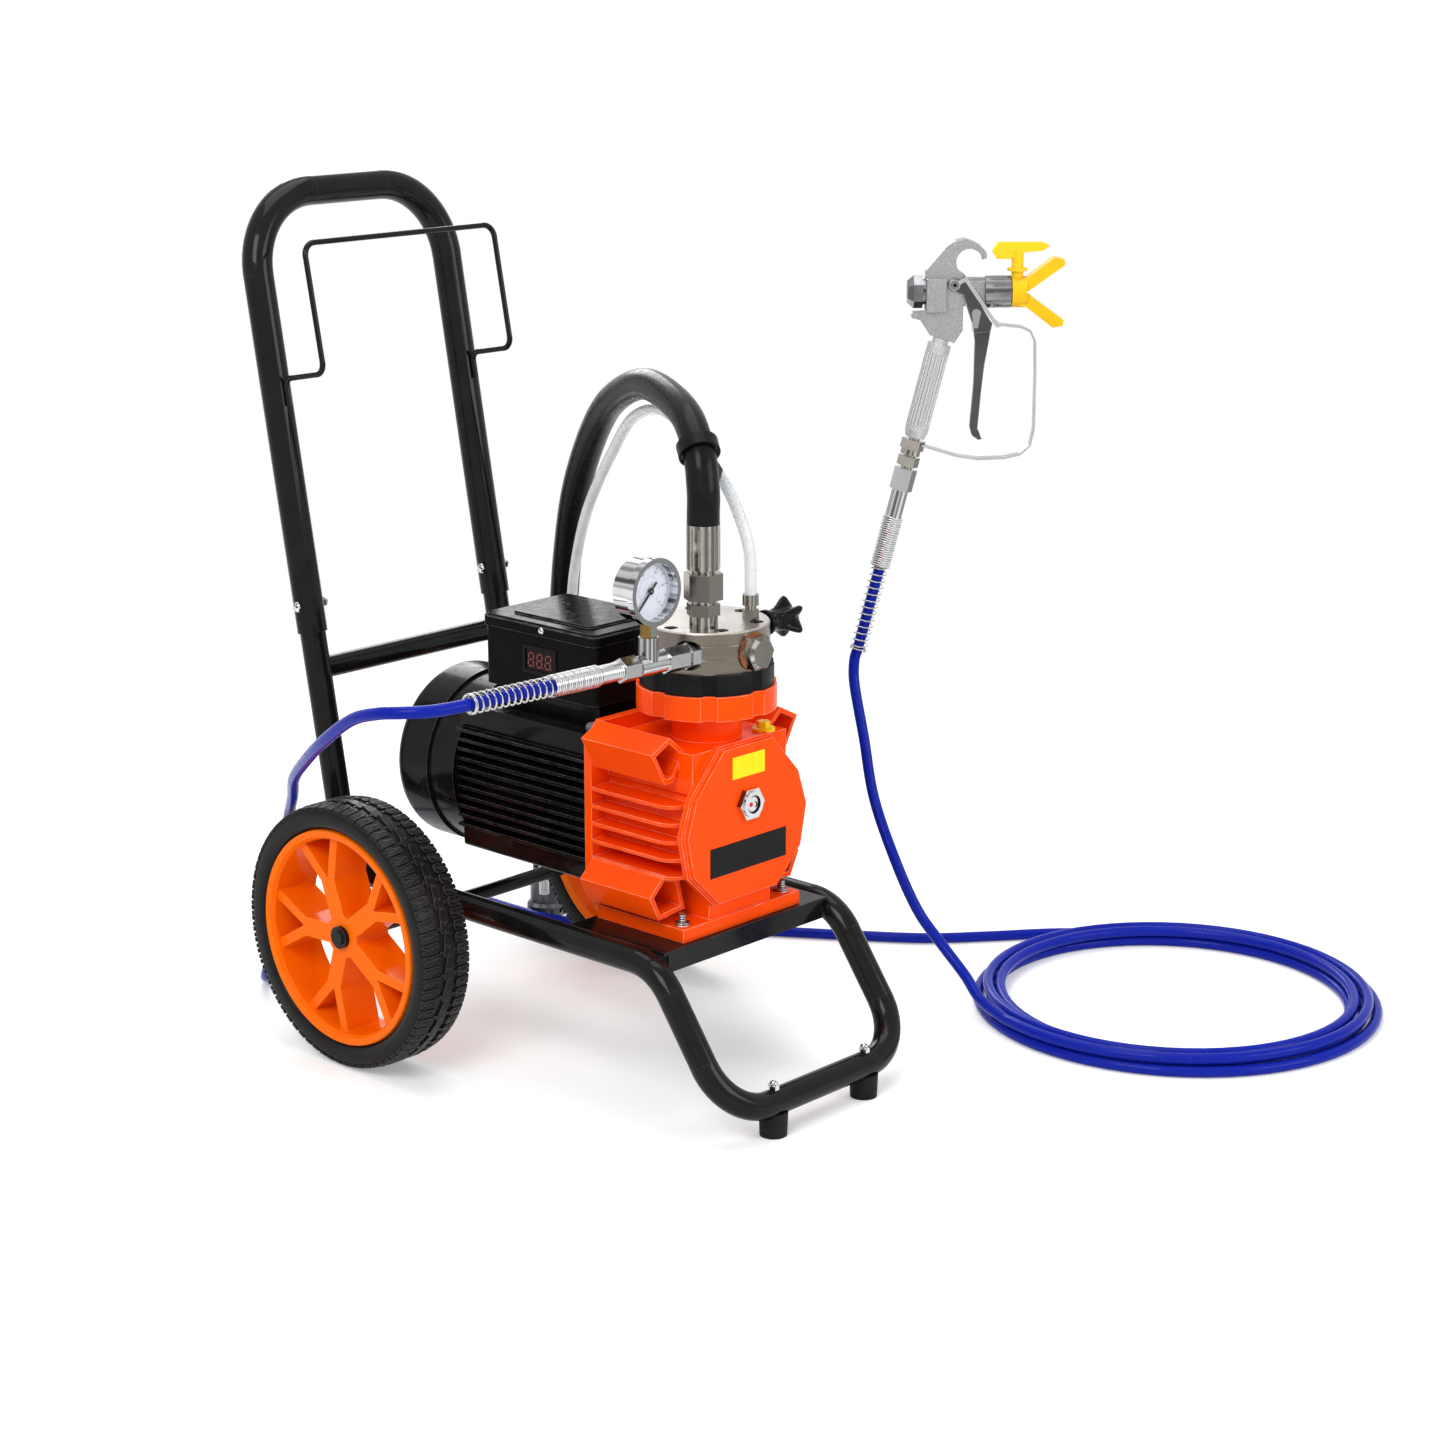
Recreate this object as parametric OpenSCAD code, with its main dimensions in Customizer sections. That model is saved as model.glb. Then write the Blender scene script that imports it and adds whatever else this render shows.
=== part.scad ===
// Airless paint sprayer: a wheeled tube cart with an electric motor, a diaphragm pump, a suction hose,
// a high-pressure hose and a spray gun.
// Origin: on the floor, midway between the wheels under the axle. +Z is up, the front of the cart is -Y.

/* [Wheels and axle] */
// Outer diameter of the tyres
tyre_d = 286; // [270:1:300]
// Width of a tyre
tyre_w = 62; // [56:1:64]
// Diameter of the orange rim at its lips
rim_d = 234; // [224:1:240]
// Depth of the rim's lip above its barrel
rim_lip = 6; // [4:0.5:8]
// Distance between the outer faces of the tyres
track = 490; // [486:1:510]
// Diameter of the wheel hub
hub_d = 46; // [40:1:52]
// Diameter of the axle
axle_d = 16; // [12:1:17]

/* [Frame] */
// Diameter of the frame tube
frame_d = 28; // [24:1:28]
// Wall of the frame tube
frame_wall = 2; // [1.5:0.1:3]
// Distance between the centre lines of the two side tubes
frame_w = 270; // [266:1:280]
// Height of the rails' centre line
rail_z = 171; // [170:1:176]
// Distance from the axle forward to the front cross bar
nose_reach = 460; // [450:1:475]
// Angle of the front legs from vertical
leg_lean = 35.5; // [30:0.5:38]
// Height of the front cross bar's centre line
nose_z = 34; // [32:1:38]
// Angle by which the posts lean back
post_lean = 10.3; // [8:0.1:12]
// Distance from the axle back to the corner where post and rail meet
post_y = 106; // [100:1:112]
// Height of the posts' tops
post_top = 505; // [495:1:515]
// Diameter of the cross tube between the posts
cross_d = 24; // [18:1:26]
// Height of the cross tube between the posts
cross_z = 390; // [375:1:400]
// Length of the deck plate, front to back
deck_len = 134; // [130:1:145]
// Thickness of the deck plate's sheet
deck_t = 3; // [2:0.5:4]
// Depth of the deck plate's folded lip
deck_lip = 22; // [15:1:28]

/* [Handle and hose hanger] */
// Diameter of the handle tube
handle_d = 32.4; // [32.2:0.1:34]
// Height of the handle's top bar
handle_z = 892; // [860:1:930]
// Radius of the handle's top corners
handle_bend = 85; // [60:1:95]
// Height at which the handle sleeves end over the posts
sleeve_z = 430; // [425:1:440]
// Height of the bolts that pin the handle to the posts
pin_z = 459; // [452:1:470]
// Diameter of the hose hanger's wire
wire_d = 6; // [5:0.5:8]
// Height at which the hanger leaves the posts
hanger_z = 702; // [680:1:720]
// How far the hanger reaches forward of the posts
hanger_reach = 64; // [50:1:80]
// Height of the hanger's loop
hanger_h = 146; // [120:1:160]

/* [Feet and bolts] */
// Diameter of the rubber feet
foot_d = 30; // [26:1:34]
// Distance between the two rubber feet
foot_gap = 140; // [130:1:145]
// Diameter of the bolts through feet and handle
bolt_d = 6; // [5:0.5:8]

/* [Motor] */
// Height of the motor's shaft
shaft_z = 291; // [288:1:294]
// Diameter of the motor's shaft
shaft_d = 20; // [16:1:24]
// Length of the finned motor housing
housing_len = 201; // [190:1:210]
// Half the width of the housing over its fins
housing_half = 87; // [84:0.5:90]
// Diameter of the housing's bore
stator_d = 128; // [120:1:130]
// Diameter of the rotor core
rotor_d = 72; // [60:1:80]
// Number of cooling fins on each side
fin_count = 11; // [7:1:12]
// Distance between the cooling fins
fin_pitch = 10.5; // [9:0.5:11]
// Length of the end shield's band
shield_len = 46; // [40:1:50]
// Diameter of the fan cowl
cowl_d = 194; // [190:1:198]
// Length of the fan cowl
cowl_len = 45; // [40:1:50]
// Number of blades of the cooling fan
blade_count = 9; // [6:1:12]

/* [Control box] */
// Width of the control box
box_w = 126; // [110:1:134]
// Length of the control box, front to back
box_len = 168; // [150:1:176]
// Height of the control box with its lid
box_h = 76; // [70:1:80]
// Height of the lid
lid_h = 13; // [10:1:20]
// Wall of the control box
box_wall = 3; // [2:0.5:5]

/* [Crankcase and pump] */
// Height of the deck plate's top face, which the crankcase stands on
deck_z = 181; // [180:0.5:183]
// Half the width of the crankcase's rear flange
flange_half = 95; // [93:0.5:97]
// Diameter of the crankcase barrel
barrel_d = 150; // [146:1:154]
// Length of the crankcase barrel between rear flange and cover
barrel_len = 118; // [114:1:122]
// Thickness of the crankcase's rear flange
flange_t = 10; // [8:1:14]
// Thickness of the octagonal front cover
cover_t = 12; // [10:1:14]
// Diameter of the crankcase's neck
neck_d = 72; // [60:1:76]
// Diameter over the lobes of the orange neck flange
lobe_d = 144; // [140:1:146]
// Thickness of the orange neck flange
lobe_t = 25; // [20:1:27]
// Thickness of the black clamp ring
ring_t = 21; // [16:1:24]
// Diameter of the pump head
head_d = 129; // [126:1:130]
// Height of the pump head
head_h = 43; // [42:1:48]
// Throw of the shaft's eccentric
throw = 5; // [3:0.5:7]
// Diameter of the piston
piston_d = 30; // [24:1:34]

/* [Pump fittings] */
// Diameter of the pressure gauge
gauge_d = 68; // [60:1:74]
// Depth of the gauge's case
gauge_t = 30; // [24:1:34]
// Diameter of the pressure knob over its lobes
knob_d = 46; // [40:1:52]
// Angle by which the outlet line turns back from square to the cart
outlet_turn = 4; // [2:1:6]

/* [Hoses] */
// Outer diameter of the high-pressure hose
hose_d = 12.2; // [10:0.1:12.4]
// Outer diameter of the suction hose
suction_d = 33; // [28:1:34]
// Outer diameter of the return tube
return_d = 12; // [10:0.5:12.5]
// Radius of the hose coil at the centre line of its outermost loop
coil_r = 229; // [226:1:232]
// Number of loops in the coil's lower layer
lower_loops = 2.4; // [2.4, 3.4]
// Number of loops in the coil's upper layer
upper_loops = 1.79; // [1.79]
// Distance between neighbouring loops of the coil
loop_pitch = 15; // [13.5:0.5:16]
// Number of curls in each spring guard
curls = 14; // [8:1:16]
// Length of a spring guard
guard_len = 100; // [95:1:104]
// Wire diameter of the spring guards
guard_wire = 1.8; // [1.4:0.1:2]

/* [Spray gun] */
// Diameter of the gun's grip tube
grip_d = 26; // [22:1:28]
// Length of the grip tube
grip_len = 106; // [100:1:108]
// Thickness of the gun's cast body
gun_t = 20; // [16:1:24]
// Diameter of the retaining nut
nut_d = 35; // [32:0.5:36]
// Thickness of the trigger's plate
trigger_t = 7; // [5:0.5:8]
// Width of the guard strap
strap_w = 12; // [9:1:14]
// Wing spread of the tip guard
wing_t = 22; // [18:1:26]

/* [Hidden] */
$fn = 64;

// Running clearance between a shaft and its bore
run_gap = 0.05;
// Clearance of a seated round fit
fit_gap = 0.1;
// Clearance between faces that pass each other
face_gap = 0.4;
// Overlap that lets a cut pass its face
cut = 1;

// Frame points, left side; the right side mirrors them
half_w = frame_w / 2;
frame_r = frame_d / 2;
post_tan = tan(post_lean);
function post_at(z) = post_y + (z - rail_z) * post_tan;
nose_y = -nose_reach;
leg_top_y = nose_y + (rail_z - nose_z) * tan(leg_lean);
side_points = [
  [-half_w, post_at(post_top), post_top],
  [-half_w, post_y, rail_z],
  [-half_w, leg_top_y, rail_z],
  [-half_w, nose_y, nose_z]
];
frame_points = concat(side_points, [for (i = [3:-1:0]) [half_w, side_points[i][1], side_points[i][2]]]);
frame_bends = [0, 80, 60, 58, 58, 60, 80, 0];

// Wheels
wheel_x = (track - tyre_w) / 2;
tyre_r = tyre_d / 2;
rim_r = rim_d / 2;
axle_r = axle_d / 2;
hub_len = tyre_w - 18;
rim_wall = 5;
barrel_r = rim_r - rim_lip;
cap_t = 5;
axle_half = wheel_x + hub_len / 2 + 8;

// Motor and crankcase stations along Y, front to back
cover_front = -362;
cover_back = cover_front + cover_t;
flange_front = cover_back + barrel_len;
flange_back = flange_front + flange_t;
housing_back = flange_back + housing_len;
shield_back = housing_back + shield_len;
cowl_back = shield_back + cowl_len;
shaft_r = shaft_d / 2;
bearing_r = shaft_r + 12;
bearing_w = 12;
rear_bearing_y = housing_back + 12;
mid_bearing_y = flange_front - 6;
front_bearing_y = cover_back + 6;
core_len = housing_len - 80;
core_y = flange_back + 36;

// Pump axis and heights
pump_y = -304;
ring_z = neck_top() + lobe_t;
head_z = ring_z + ring_t;
head_top = head_z + head_h;
function neck_top() = 404;
head_r = head_d / 2;
eccentric_r = 24;
follower_z = shaft_z + throw + eccentric_r + face_gap;
port_z = head_z + 20;
inlet_x = -28;
inlet_y = pump_y - 22;
return_x = 30;
return_y = pump_y - 33;
knob_y = pump_y - 13;
knob_z = head_z + 30;
screw_ring_r = 52;

// Fitting stack of the suction hose, heights above the head
boss_h = 13;
boss_hex_h = 12;
union_h = 27;
ferrule_h = 45;
stack_gap = 4;
suction_start = head_top + boss_h + boss_hex_h + union_h + 2 * stack_gap + ferrule_h;
return_start = head_top + 26;

// Outlet line: distances along it from its port
outlet_at = [-50, -333, port_z];
tee_at = 60;
tee_end = 78;
line_hex_end = 98;
thin_end = 128;
thick_end = 186;
ferrule_thin_d = 18.5;
ferrule_thick_d = 22;
outlet_dir = [-cos(outlet_turn), sin(outlet_turn), 0];
guard_r = 9.6;

// Gauge
gauge_z = port_z + 74;
gauge_x = outlet_at[0] + tee_at * outlet_dir[0];
gauge_y = outlet_at[1] + tee_at * outlet_dir[1];
gauge_front = gauge_y - 12;

// Control box
box_z = 394;
box_back = -38;
box_front = box_back - box_len;
box_floor = box_z;
box_top = box_z + box_h;

// Spray gun: its plane stands upright and is turned about Z; local X points along the barrel
gun_at = [401, -245, 622];
gun_heading = -47.3;
grip_lean = 14;
bore_z = 160;
pivot_at = [40, 169];
lock_at = [64, 138];
gun_line = [-sin(grip_lean), 0, -cos(grip_lean)];
swivel_start = 36;
swivel_end = 61;
gun_thin_end = 92;
gun_thick_end = 150;
gun_guard_end = gun_thick_end + guard_len;
function gun_to_world(p) = gun_at + [
  p[0] * cos(gun_heading) - p[1] * sin(gun_heading),
  p[0] * sin(gun_heading) + p[1] * cos(gun_heading),
  p[2]
];
gun_line_world = gun_to_world(gun_line) - gun_at;
riser_top = gun_to_world(gun_line * gun_guard_end);

// High-pressure hose: the route of its free stretches, chosen by hand, and its coil
coil_at = [512, -540];
coil_start = 50;
coil_in_r = coil_r - loop_pitch * lower_loops;
hose_r = hose_d / 2;
hose_z = hose_r + 0.1;
layer_rise = hose_d + 0.7;
// Gap between two modelled stretches of the hose
stretch_gap = 2;
pump_line_end = outlet_at + outlet_dir * (thick_end + guard_len);
run_route = [
  pump_line_end,
  pump_line_end + outlet_dir * 16,
  [-377, -305, 470], [-395, -287, 469], [-402, -262, 465], [-397, -218, 450],
  [-376, -150, 412], [-338, -75, 370], [-296, -5, 330], [-248, 58, 288], [-208, 115, 246],
  [-188, 152, 190], [-178, 178, 120], [-170, 202, 60], [-154, 234, 22],
  [-120, 272, hose_z], [-60, 310, hose_z], [10, 338, hose_z], [80, 355, hose_z],
  [150, 356, hose_z], [200, 334, hose_z], [225, 290, hose_z], [228, 230, hose_z],
  [233, 170, hose_z], [270, 92, hose_z], [325, 15, hose_z], [375, -48, hose_z],
  [430, -130, hose_z], [484, -205, hose_z], [540, -256, hose_z], [600, -305, hose_z],
  coil_point(0) - coil_heading(0) * 14,
  coil_point(0) - coil_heading(0) * stretch_gap
];
coil_turns = lower_loops + 0.5 + upper_loops;
riser_route = [
  coil_point(coil_turns) + coil_heading(coil_turns) * stretch_gap,
  coil_point(coil_turns) + coil_heading(coil_turns) * 14,
  [322, -415, 26], [333, -384, 44], [334, -348, 73], [327, -320, 107],
  [325, -288, 160], [333, -250, 222], [343, -226, 285], [353, -203, 340],
  riser_top + gun_line_world * 14,
  riser_top
];
// Suction hose and return tube
suction_route = [
  [inlet_x, inlet_y, suction_start], [inlet_x, inlet_y, suction_start + 10],
  [inlet_x, inlet_y, suction_start + 34], [-20, -312, 670],
  [10, -262, 700], [62, -162, 710], [112, -66, 680], [146, 0, 632],
  [174, 58, 556], [190, 90, 475], [199, 108, 400], [215, 140, 300],
  [233, 170, 210], [252, 196, 130], [262, 208, 86], [262, 208, 56], [262, 208, 46]
];
return_route = [
  [return_x, return_y, return_start], [return_x, return_y, return_start + 4],
  [return_x, return_y, return_start + 14], [30, -334, 568],
  [27, -316, 612], [28, -288, 644], [42, -246, 668], [76, -170, 682],
  [112, -94, 662], [140, -34, 614], [160, 26, 540], [176, 64, 465],
  [186, 84, 395], [200, 116, 300], [212, 148, 200], [226, 172, 130],
  [233, 182, 84], [233, 182, 36]
];

// ---------- Vector helpers ----------
function unit(v) = v / norm(v);
function any_normal(t) = unit(cross(t, abs(t[2]) < 0.9 ? [0, 0, 1] : [1, 0, 0]));
function flat(lists) = [for (list = lists) for (item = list) item];

// Point at share s between b and c of a smooth curve through a, b, c and d
function curve_point(a, b, c, d, s) =
  0.5 * ((2 * b) + (c - a) * s + (2 * a - 5 * b + 4 * c - d) * s * s + (3 * b - a - 3 * c + d) * s * s * s);

// Route with one more point on the smooth curve between each two
function rounded_route(p) = concat(
  flat([for (i = [0:len(p) - 2])
    [p[i], curve_point(p[max(i - 1, 0)], p[i], p[i + 1], p[min(i + 2, len(p) - 1)], 0.5)]]),
  [p[len(p) - 1]]
);

function tangents(p) = [for (i = [0:len(p) - 1]) unit(p[min(i + 1, len(p) - 1)] - p[max(i - 1, 0)])];
function carried_normals(t) = [
  for (i = 0, n = any_normal(t[0]); i < len(t);
    i = i + 1, n = i < len(t) ? unit(n - (n * t[i]) * t[i]) : n) n
];

// Tube of radius r swept along the points of a path
module swept_tube(path, r, sides) {
  t = tangents(path);
  n = carried_normals(t);
  rings = len(path);
  points = flat([for (i = [0:rings - 1])
    [for (j = [0:sides - 1])
      path[i] + r * (cos(360 * j / sides) * n[i] + sin(360 * j / sides) * cross(t[i], n[i]))]]);
  walls = flat([for (i = [0:rings - 2]) flat([for (j = [0:sides - 1])
    let (k = (j + 1) % sides, a = i * sides, b = (i + 1) * sides)
    [[a + j, b + j, b + k], [a + j, b + k, a + k]]])]);
  first = [for (j = [1:sides - 2]) [0, j, j + 1]];
  last = [for (j = [1:sides - 2]) let (b = (rings - 1) * sides) [b, b + j + 1, b + j]];
  polyhedron(points, concat(walls, first, last), convexity = 10);
}

// Least gap between the parts of a tube's own path that lie at least `apart` points from each other
function least_gap(path, apart, r) = min([
  for (i = [0:len(path) - 1 - apart]) min([for (j = [i + apart:len(path) - 1]) norm(path[i] - path[j])])
]) - 2 * r;

// Places children so that their +Z runs along v from point p
module along(p, v) {
  translate(p)
    rotate([0, acos(v[2] / norm(v)), atan2(v[1], v[0])])
      children();
}

// Round bar between two points
module bar(a, b, r) {
  along(a, b - a)
    cylinder(h = norm(b - a), r = r);
}

// Round bar that follows points and turns each corner on the radius in bends. The straights reach a little way
// into the bends, which are thicker by a hair, so that the pieces join.
seam = 0.2;
seam_r = 0.15;
function corner_angle(p, i) = acos(unit(p[i] - p[i - 1]) * unit(p[i + 1] - p[i]));
function corner_cut(p, bends, i) =
  i == 0 || i == len(p) - 1 ? 0 : bends[i] * tan(corner_angle(p, i) / 2);
module bent_bar(p, bends, r) {
  for (i = [0:len(p) - 2]) {
    d = unit(p[i + 1] - p[i]);
    bar(p[i] + d * (corner_cut(p, bends, i) - (i == 0 ? 0 : seam)),
      p[i + 1] - d * (corner_cut(p, bends, i + 1) - (i == len(p) - 2 ? 0 : seam)), r);
  }
  for (i = [1:len(p) - 2])
    bend(p[i], unit(p[i] - p[i - 1]), unit(p[i + 1] - p[i]), bends[i], corner_angle(p, i), r);
}
module bend(corner, d1, d2, radius, angle, r) {
  start = corner - d1 * radius * tan(angle / 2);
  out = unit(d2 - d1 * (d1 * d2));
  centre = start + out * radius;
  side = cross(-out, d1);
  multmatrix([
    [-out[0], d1[0], side[0], centre[0]],
    [-out[1], d1[1], side[1], centre[1]],
    [-out[2], d1[2], side[2], centre[2]],
    [0, 0, 0, 1]
  ])
    rotate_extrude(angle = angle)
      translate([radius, 0])
        circle(r + seam_r);
}

// ---------- Shape helpers ----------
module tube(h, r, bore) {
  difference() {
    cylinder(h = h, r = r);
    translate([0, 0, -cut])
      cylinder(h = h + 2 * cut, r = bore);
  }
}
// Hexagonal bar by its width across flats
module hex_bar(h, flats) {
  cylinder(h = h, r = flats / sqrt(3), $fn = 6);
}
// Box with its four upright edges rounded, centred on X and Y
module soft_box(w, d, h, r) {
  linear_extrude(h)
    soft_square(w, d, r);
}
module soft_square(w, d, r) {
  square([w - 2 * r, d], center = true);
  square([w, d - 2 * r], center = true);
  for (x = [-1, 1], y = [-1, 1])
    translate([x * (w / 2 - r), y * (d / 2 - r)])
      circle(r);
}
// Turns a shape so that its +Z points forward, along -Y
module facing_front(y) {
  translate([0, y, 0])
    rotate([90, 0, 0])
      children();
}
// Runs a flat shape along Y, from y_front to y_back, about the motor's shaft
module along_shaft(y_front, y_back) {
  translate([0, y_back, shaft_z])
    rotate([90, 0, 0])
      linear_extrude(y_back - y_front)
        children();
}
module mirrored(axis) {
  children();
  mirror(axis)
    children();
}

// ---------- Cart ----------
module frame() {
  color("#161616")
    difference() {
      union() {
        bent_bar(frame_points, frame_bends, frame_r);
        bar([-half_w, post_at(cross_z), cross_z], [half_w, post_at(cross_z), cross_z], cross_d / 2);
        mirrored([1, 0, 0])
          axle_bracket();
      }
      bent_bar(extended(frame_points), frame_bends, frame_r - frame_wall);
      bar([-half_w, post_at(cross_z), cross_z], [half_w, post_at(cross_z), cross_z],
        cross_d / 2 - frame_wall);
      for (x = [-half_w, half_w])
        bar([x - handle_d, post_at(pin_z), pin_z], [x + handle_d, post_at(pin_z), pin_z],
          bolt_d / 2 + face_gap);
      for (x = [-foot_gap / 2, foot_gap / 2])
        translate([x, nose_y, nose_z - frame_d])
          cylinder(h = 2 * frame_d, r = bolt_d / 2 + face_gap);
      for (side = [-1, 1])
        bar([side * (half_w - 20), 0, tyre_r], [side * (half_w + 20), 0, tyre_r], axle_r + fit_gap);
    }
}
// The same points with the two open ends drawn out past the tube's ends
function extended(p) = [for (i = [0:len(p) - 1])
  i == 0 ? p[0] + unit(p[0] - p[1]) * cut
  : i == len(p) - 1 ? p[i] + unit(p[i] - p[i - 1]) * cut : p[i]];
bracket_t = 6;
module axle_bracket() {
  translate([half_w - bracket_t / 2, -18, tyre_r - axle_r - 8])
    cube([bracket_t, 36, rail_z - frame_r + frame_wall / 2 - (tyre_r - axle_r - 8)]);
}

deck_front = cover_front + 1;
// The plate's lower edges meet the rails' round sides
deck_half = half_w - sqrt(pow(frame_r, 2) - pow(deck_z - deck_t - rail_z, 2));
bolt_x = 75;
bolt_inset = 22;
base_bolt_d = 8;
function base_bolt_places() = [for (x = [-bolt_x, bolt_x], y = [cover_front + bolt_inset, flange_front - 18]) [x, y]];
module deck_plate() {
  color("#141414")
    difference() {
      union() {
        translate([-deck_half, deck_front, deck_z - deck_t])
          cube([2 * deck_half, deck_len, deck_t]);
        for (y = [deck_front, deck_front + deck_len - deck_t])
          translate([-deck_half + 6, y, deck_z - deck_lip])
            cube([2 * (deck_half - 6), deck_t, deck_lip]);
      }
      for (p = base_bolt_places())
        translate([p[0], p[1], deck_z - 2 * deck_t])
          cylinder(h = 3 * deck_t, r = base_bolt_d / 2 + face_gap);
    }
}

module axle() {
  color("#1a1a1a") {
    bar([-axle_half, 0, tyre_r], [axle_half, 0, tyre_r], axle_r);
    for (side = [-1, 1]) {
      // Washer and spring pin collar inside the wheel
      along([side * (wheel_x - hub_len / 2 - face_gap), 0, tyre_r], [-side, 0, 0])
        tube(3, axle_r + 6, axle_r);
      // Push-on cap outside the wheel
      along([side * (wheel_x + hub_len / 2 + face_gap), 0, tyre_r], [side, 0, 0])
        difference() {
          tube(cap_t, axle_r + 4, axle_r);
        }
    }
  }
}

handle_r = handle_d / 2;
handle_bore = frame_r + 0.1;
handle_points = [
  [-half_w, post_at(sleeve_z), sleeve_z],
  [-half_w, post_at(handle_z), handle_z],
  [half_w, post_at(handle_z), handle_z],
  [half_w, post_at(sleeve_z), sleeve_z]
];
module handle() {
  color("#161616")
    difference() {
      bent_bar(handle_points, [0, handle_bend, handle_bend, 0], handle_r);
      bent_bar(extended(handle_points), [0, handle_bend, handle_bend, 0], handle_bore);
      for (x = [-half_w, half_w])
        bar([x - handle_d, post_at(pin_z), pin_z], [x + handle_d, post_at(pin_z), pin_z],
          bolt_d / 2 + face_gap);
    }
}

// Bolt of length h with a domed head below z = 0 and a domed nut on its end
module domed_bolt(h) {
  cylinder(h = h + bolt_d, r = bolt_d / 2);
  mirror([0, 0, 1])
    dome(bolt_d * 0.6, bolt_d);
  translate([0, 0, h]) {
    difference() {
      union() {
        hex_bar(bolt_d * 0.8, bolt_d * 1.7);
        translate([0, 0, bolt_d * 0.8])
          dome(bolt_d * 0.8, bolt_d * 0.8);
      }
    }
  }
}
// Low dome of height h on a round foot of radius r
module dome(h, r) {
  radius = (r * r + h * h) / (2 * h);
  intersection() {
    cylinder(h = h + cut, r = r);
    translate([0, 0, h - radius])
      sphere(radius);
  }
}
module frame_bolts() {
  color("#d8d8d8") {
    for (x = [-half_w, half_w])
      along([x - handle_r, post_at(pin_z), pin_z], [1, 0, 0])
        domed_bolt(handle_d);
    for (x = [-foot_gap / 2, foot_gap / 2])
      translate([x, nose_y, foot_recess])
        domed_bolt(nose_z + frame_r - foot_recess);
  }
}

foot_recess = 8;
module rubber_feet() {
  color("#202020")
    for (x = [-foot_gap / 2, foot_gap / 2])
      difference() {
        translate([x, nose_y, 0])
          cylinder(h = nose_z - frame_r + 5, r1 = foot_d / 2 - 1, r2 = foot_d / 2);
        bar([x - foot_d, nose_y, nose_z], [x + foot_d, nose_y, nose_z], frame_r + fit_gap);
        translate([x, nose_y, -cut])
          cylinder(h = nose_z, r = bolt_d / 2 + face_gap);
        translate([x, nose_y, -cut])
          cylinder(h = foot_recess + cut, r = bolt_d + 1);
      }
}

// The hanger's feet lie against the front of the handle's legs
hanger_bend = 10;
weld_len = 28;
module hose_hanger() {
  front = (handle_r + wire_d / 2) / cos(post_lean) + 0.1;
  loop_top = hanger_z + hanger_h;
  low = [post_at(hanger_z - weld_len) - front, hanger_z - weld_len];
  elbow = [post_at(hanger_z) - front, hanger_z];
  arm = [elbow[0] - hanger_reach, hanger_z + 12];
  top = [post_at(loop_top) - front - hanger_reach, loop_top];
  side = [low, elbow, arm, top];
  points = concat([for (p = side) [-half_w, p[0], p[1]]], [for (i = [3:-1:0]) [half_w, side[i][0], side[i][1]]]);
  color("#161616")
    bent_bar(points, [0, 9, 12, 14, 14, 12, 9, 0], wire_d / 2);
}

// ---------- Wheels ----------
spokes = 5;
spoke_t = 10.5;
fork_angle = 15;
module rim_shape() {
  half = tyre_w / 2;
  difference() {
    union() {
      // Barrel between two lips
      rotate_extrude($fn = 96)
        polygon([
          [barrel_r - rim_wall, -half + 1], [rim_r, -half + 1], [rim_r, -half + 6], [barrel_r, -half + 8],
          [barrel_r, half - 8], [rim_r, half - 6], [rim_r - 1, half - 1], [rim_r - 3, half],
          [rim_r - 8, half - 1], [barrel_r - rim_wall, half - 6]
        ]);
      translate([0, 0, -hub_len / 2])
        cylinder(h = hub_len, r = hub_d / 2);
      for (i = [0:spokes - 1])
        rotate([0, 0, 360 / spokes * i + 20])
          forked_spoke(half);
      // Floors of the pockets between the two arms of each fork
      for (i = [0:spokes - 1])
        rotate([0, 0, 360 / spokes * i + 20])
          translate([0, 0, -half + 8])
            linear_extrude(4)
              polygon([[fork_r, 0], fork_tip(-1), fork_tip(1)]);
    }
    translate([0, 0, -tyre_w])
      cylinder(h = 2 * tyre_w, r = axle_r + run_gap);
  }
}
fork_r = 64;
function fork_tip(side) = (barrel_r - rim_wall + 2) * [cos(side * fork_angle), sin(side * fork_angle)];
// Plate rib from point a to point b, standing from z0 to z1
module rib(a, b, t, z0, z1) {
  d = b - a;
  translate([a[0], a[1], z0])
    rotate([0, 0, atan2(d[1], d[0])])
      translate([0, -t / 2, 0])
        cube([norm(d), t, z1 - z0]);
}
module forked_spoke(half) {
  rib([hub_d / 2 - 4, 0], [fork_r, 0], 2 * spoke_t, -half + 8, hub_len / 2 - 0.4);
  for (side = [-1, 1])
    rib([fork_r - 6, side * 3], fork_tip(side), spoke_t, -half + 8, half - 10);
}
// Turns a wheel-shaped part onto the axle; its outer face looks away from the cart
module on_wheel(side) {
  translate([side * wheel_x, 0, tyre_r])
    rotate([0, side * 90, 0])
      children();
}
module rim_left() {
  color("#f25c05")
    on_wheel(-1)
      rim_shape();
}
module rim_right() {
  color("#f25c05")
    on_wheel(1)
      rim_shape();
}
tread_groove = 3;
module tyre_shape() {
  half = tyre_w / 2;
  bead = half - 8.2;
  bead_r = barrel_r + fit_gap;
  rotate_extrude($fn = 96)
    difference() {
      polygon([
        [bead_r, -bead], [rim_r + 0.4, -half + 6], [rim_r + 1, -half + 3], [rim_r + 8, -half],
        [tyre_r - 10, -half], [tyre_r - 3, -half + 4], [tyre_r, -half + 10], [tyre_r, half - 10],
        [tyre_r - 3, half - 4], [tyre_r - 10, half], [rim_r + 8, half], [rim_r + 1, half - 3],
        [rim_r + 0.4, half - 6], [bead_r, bead]
      ]);
      for (x = [-half / 3, half / 3])
        translate([tyre_r - tread_groove, x - 1.5])
          square([tread_groove + cut, 3]);
    }
}
module tyre_left() {
  color("#1c1c1c")
    on_wheel(-1)
      tyre_shape();
}
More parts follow.
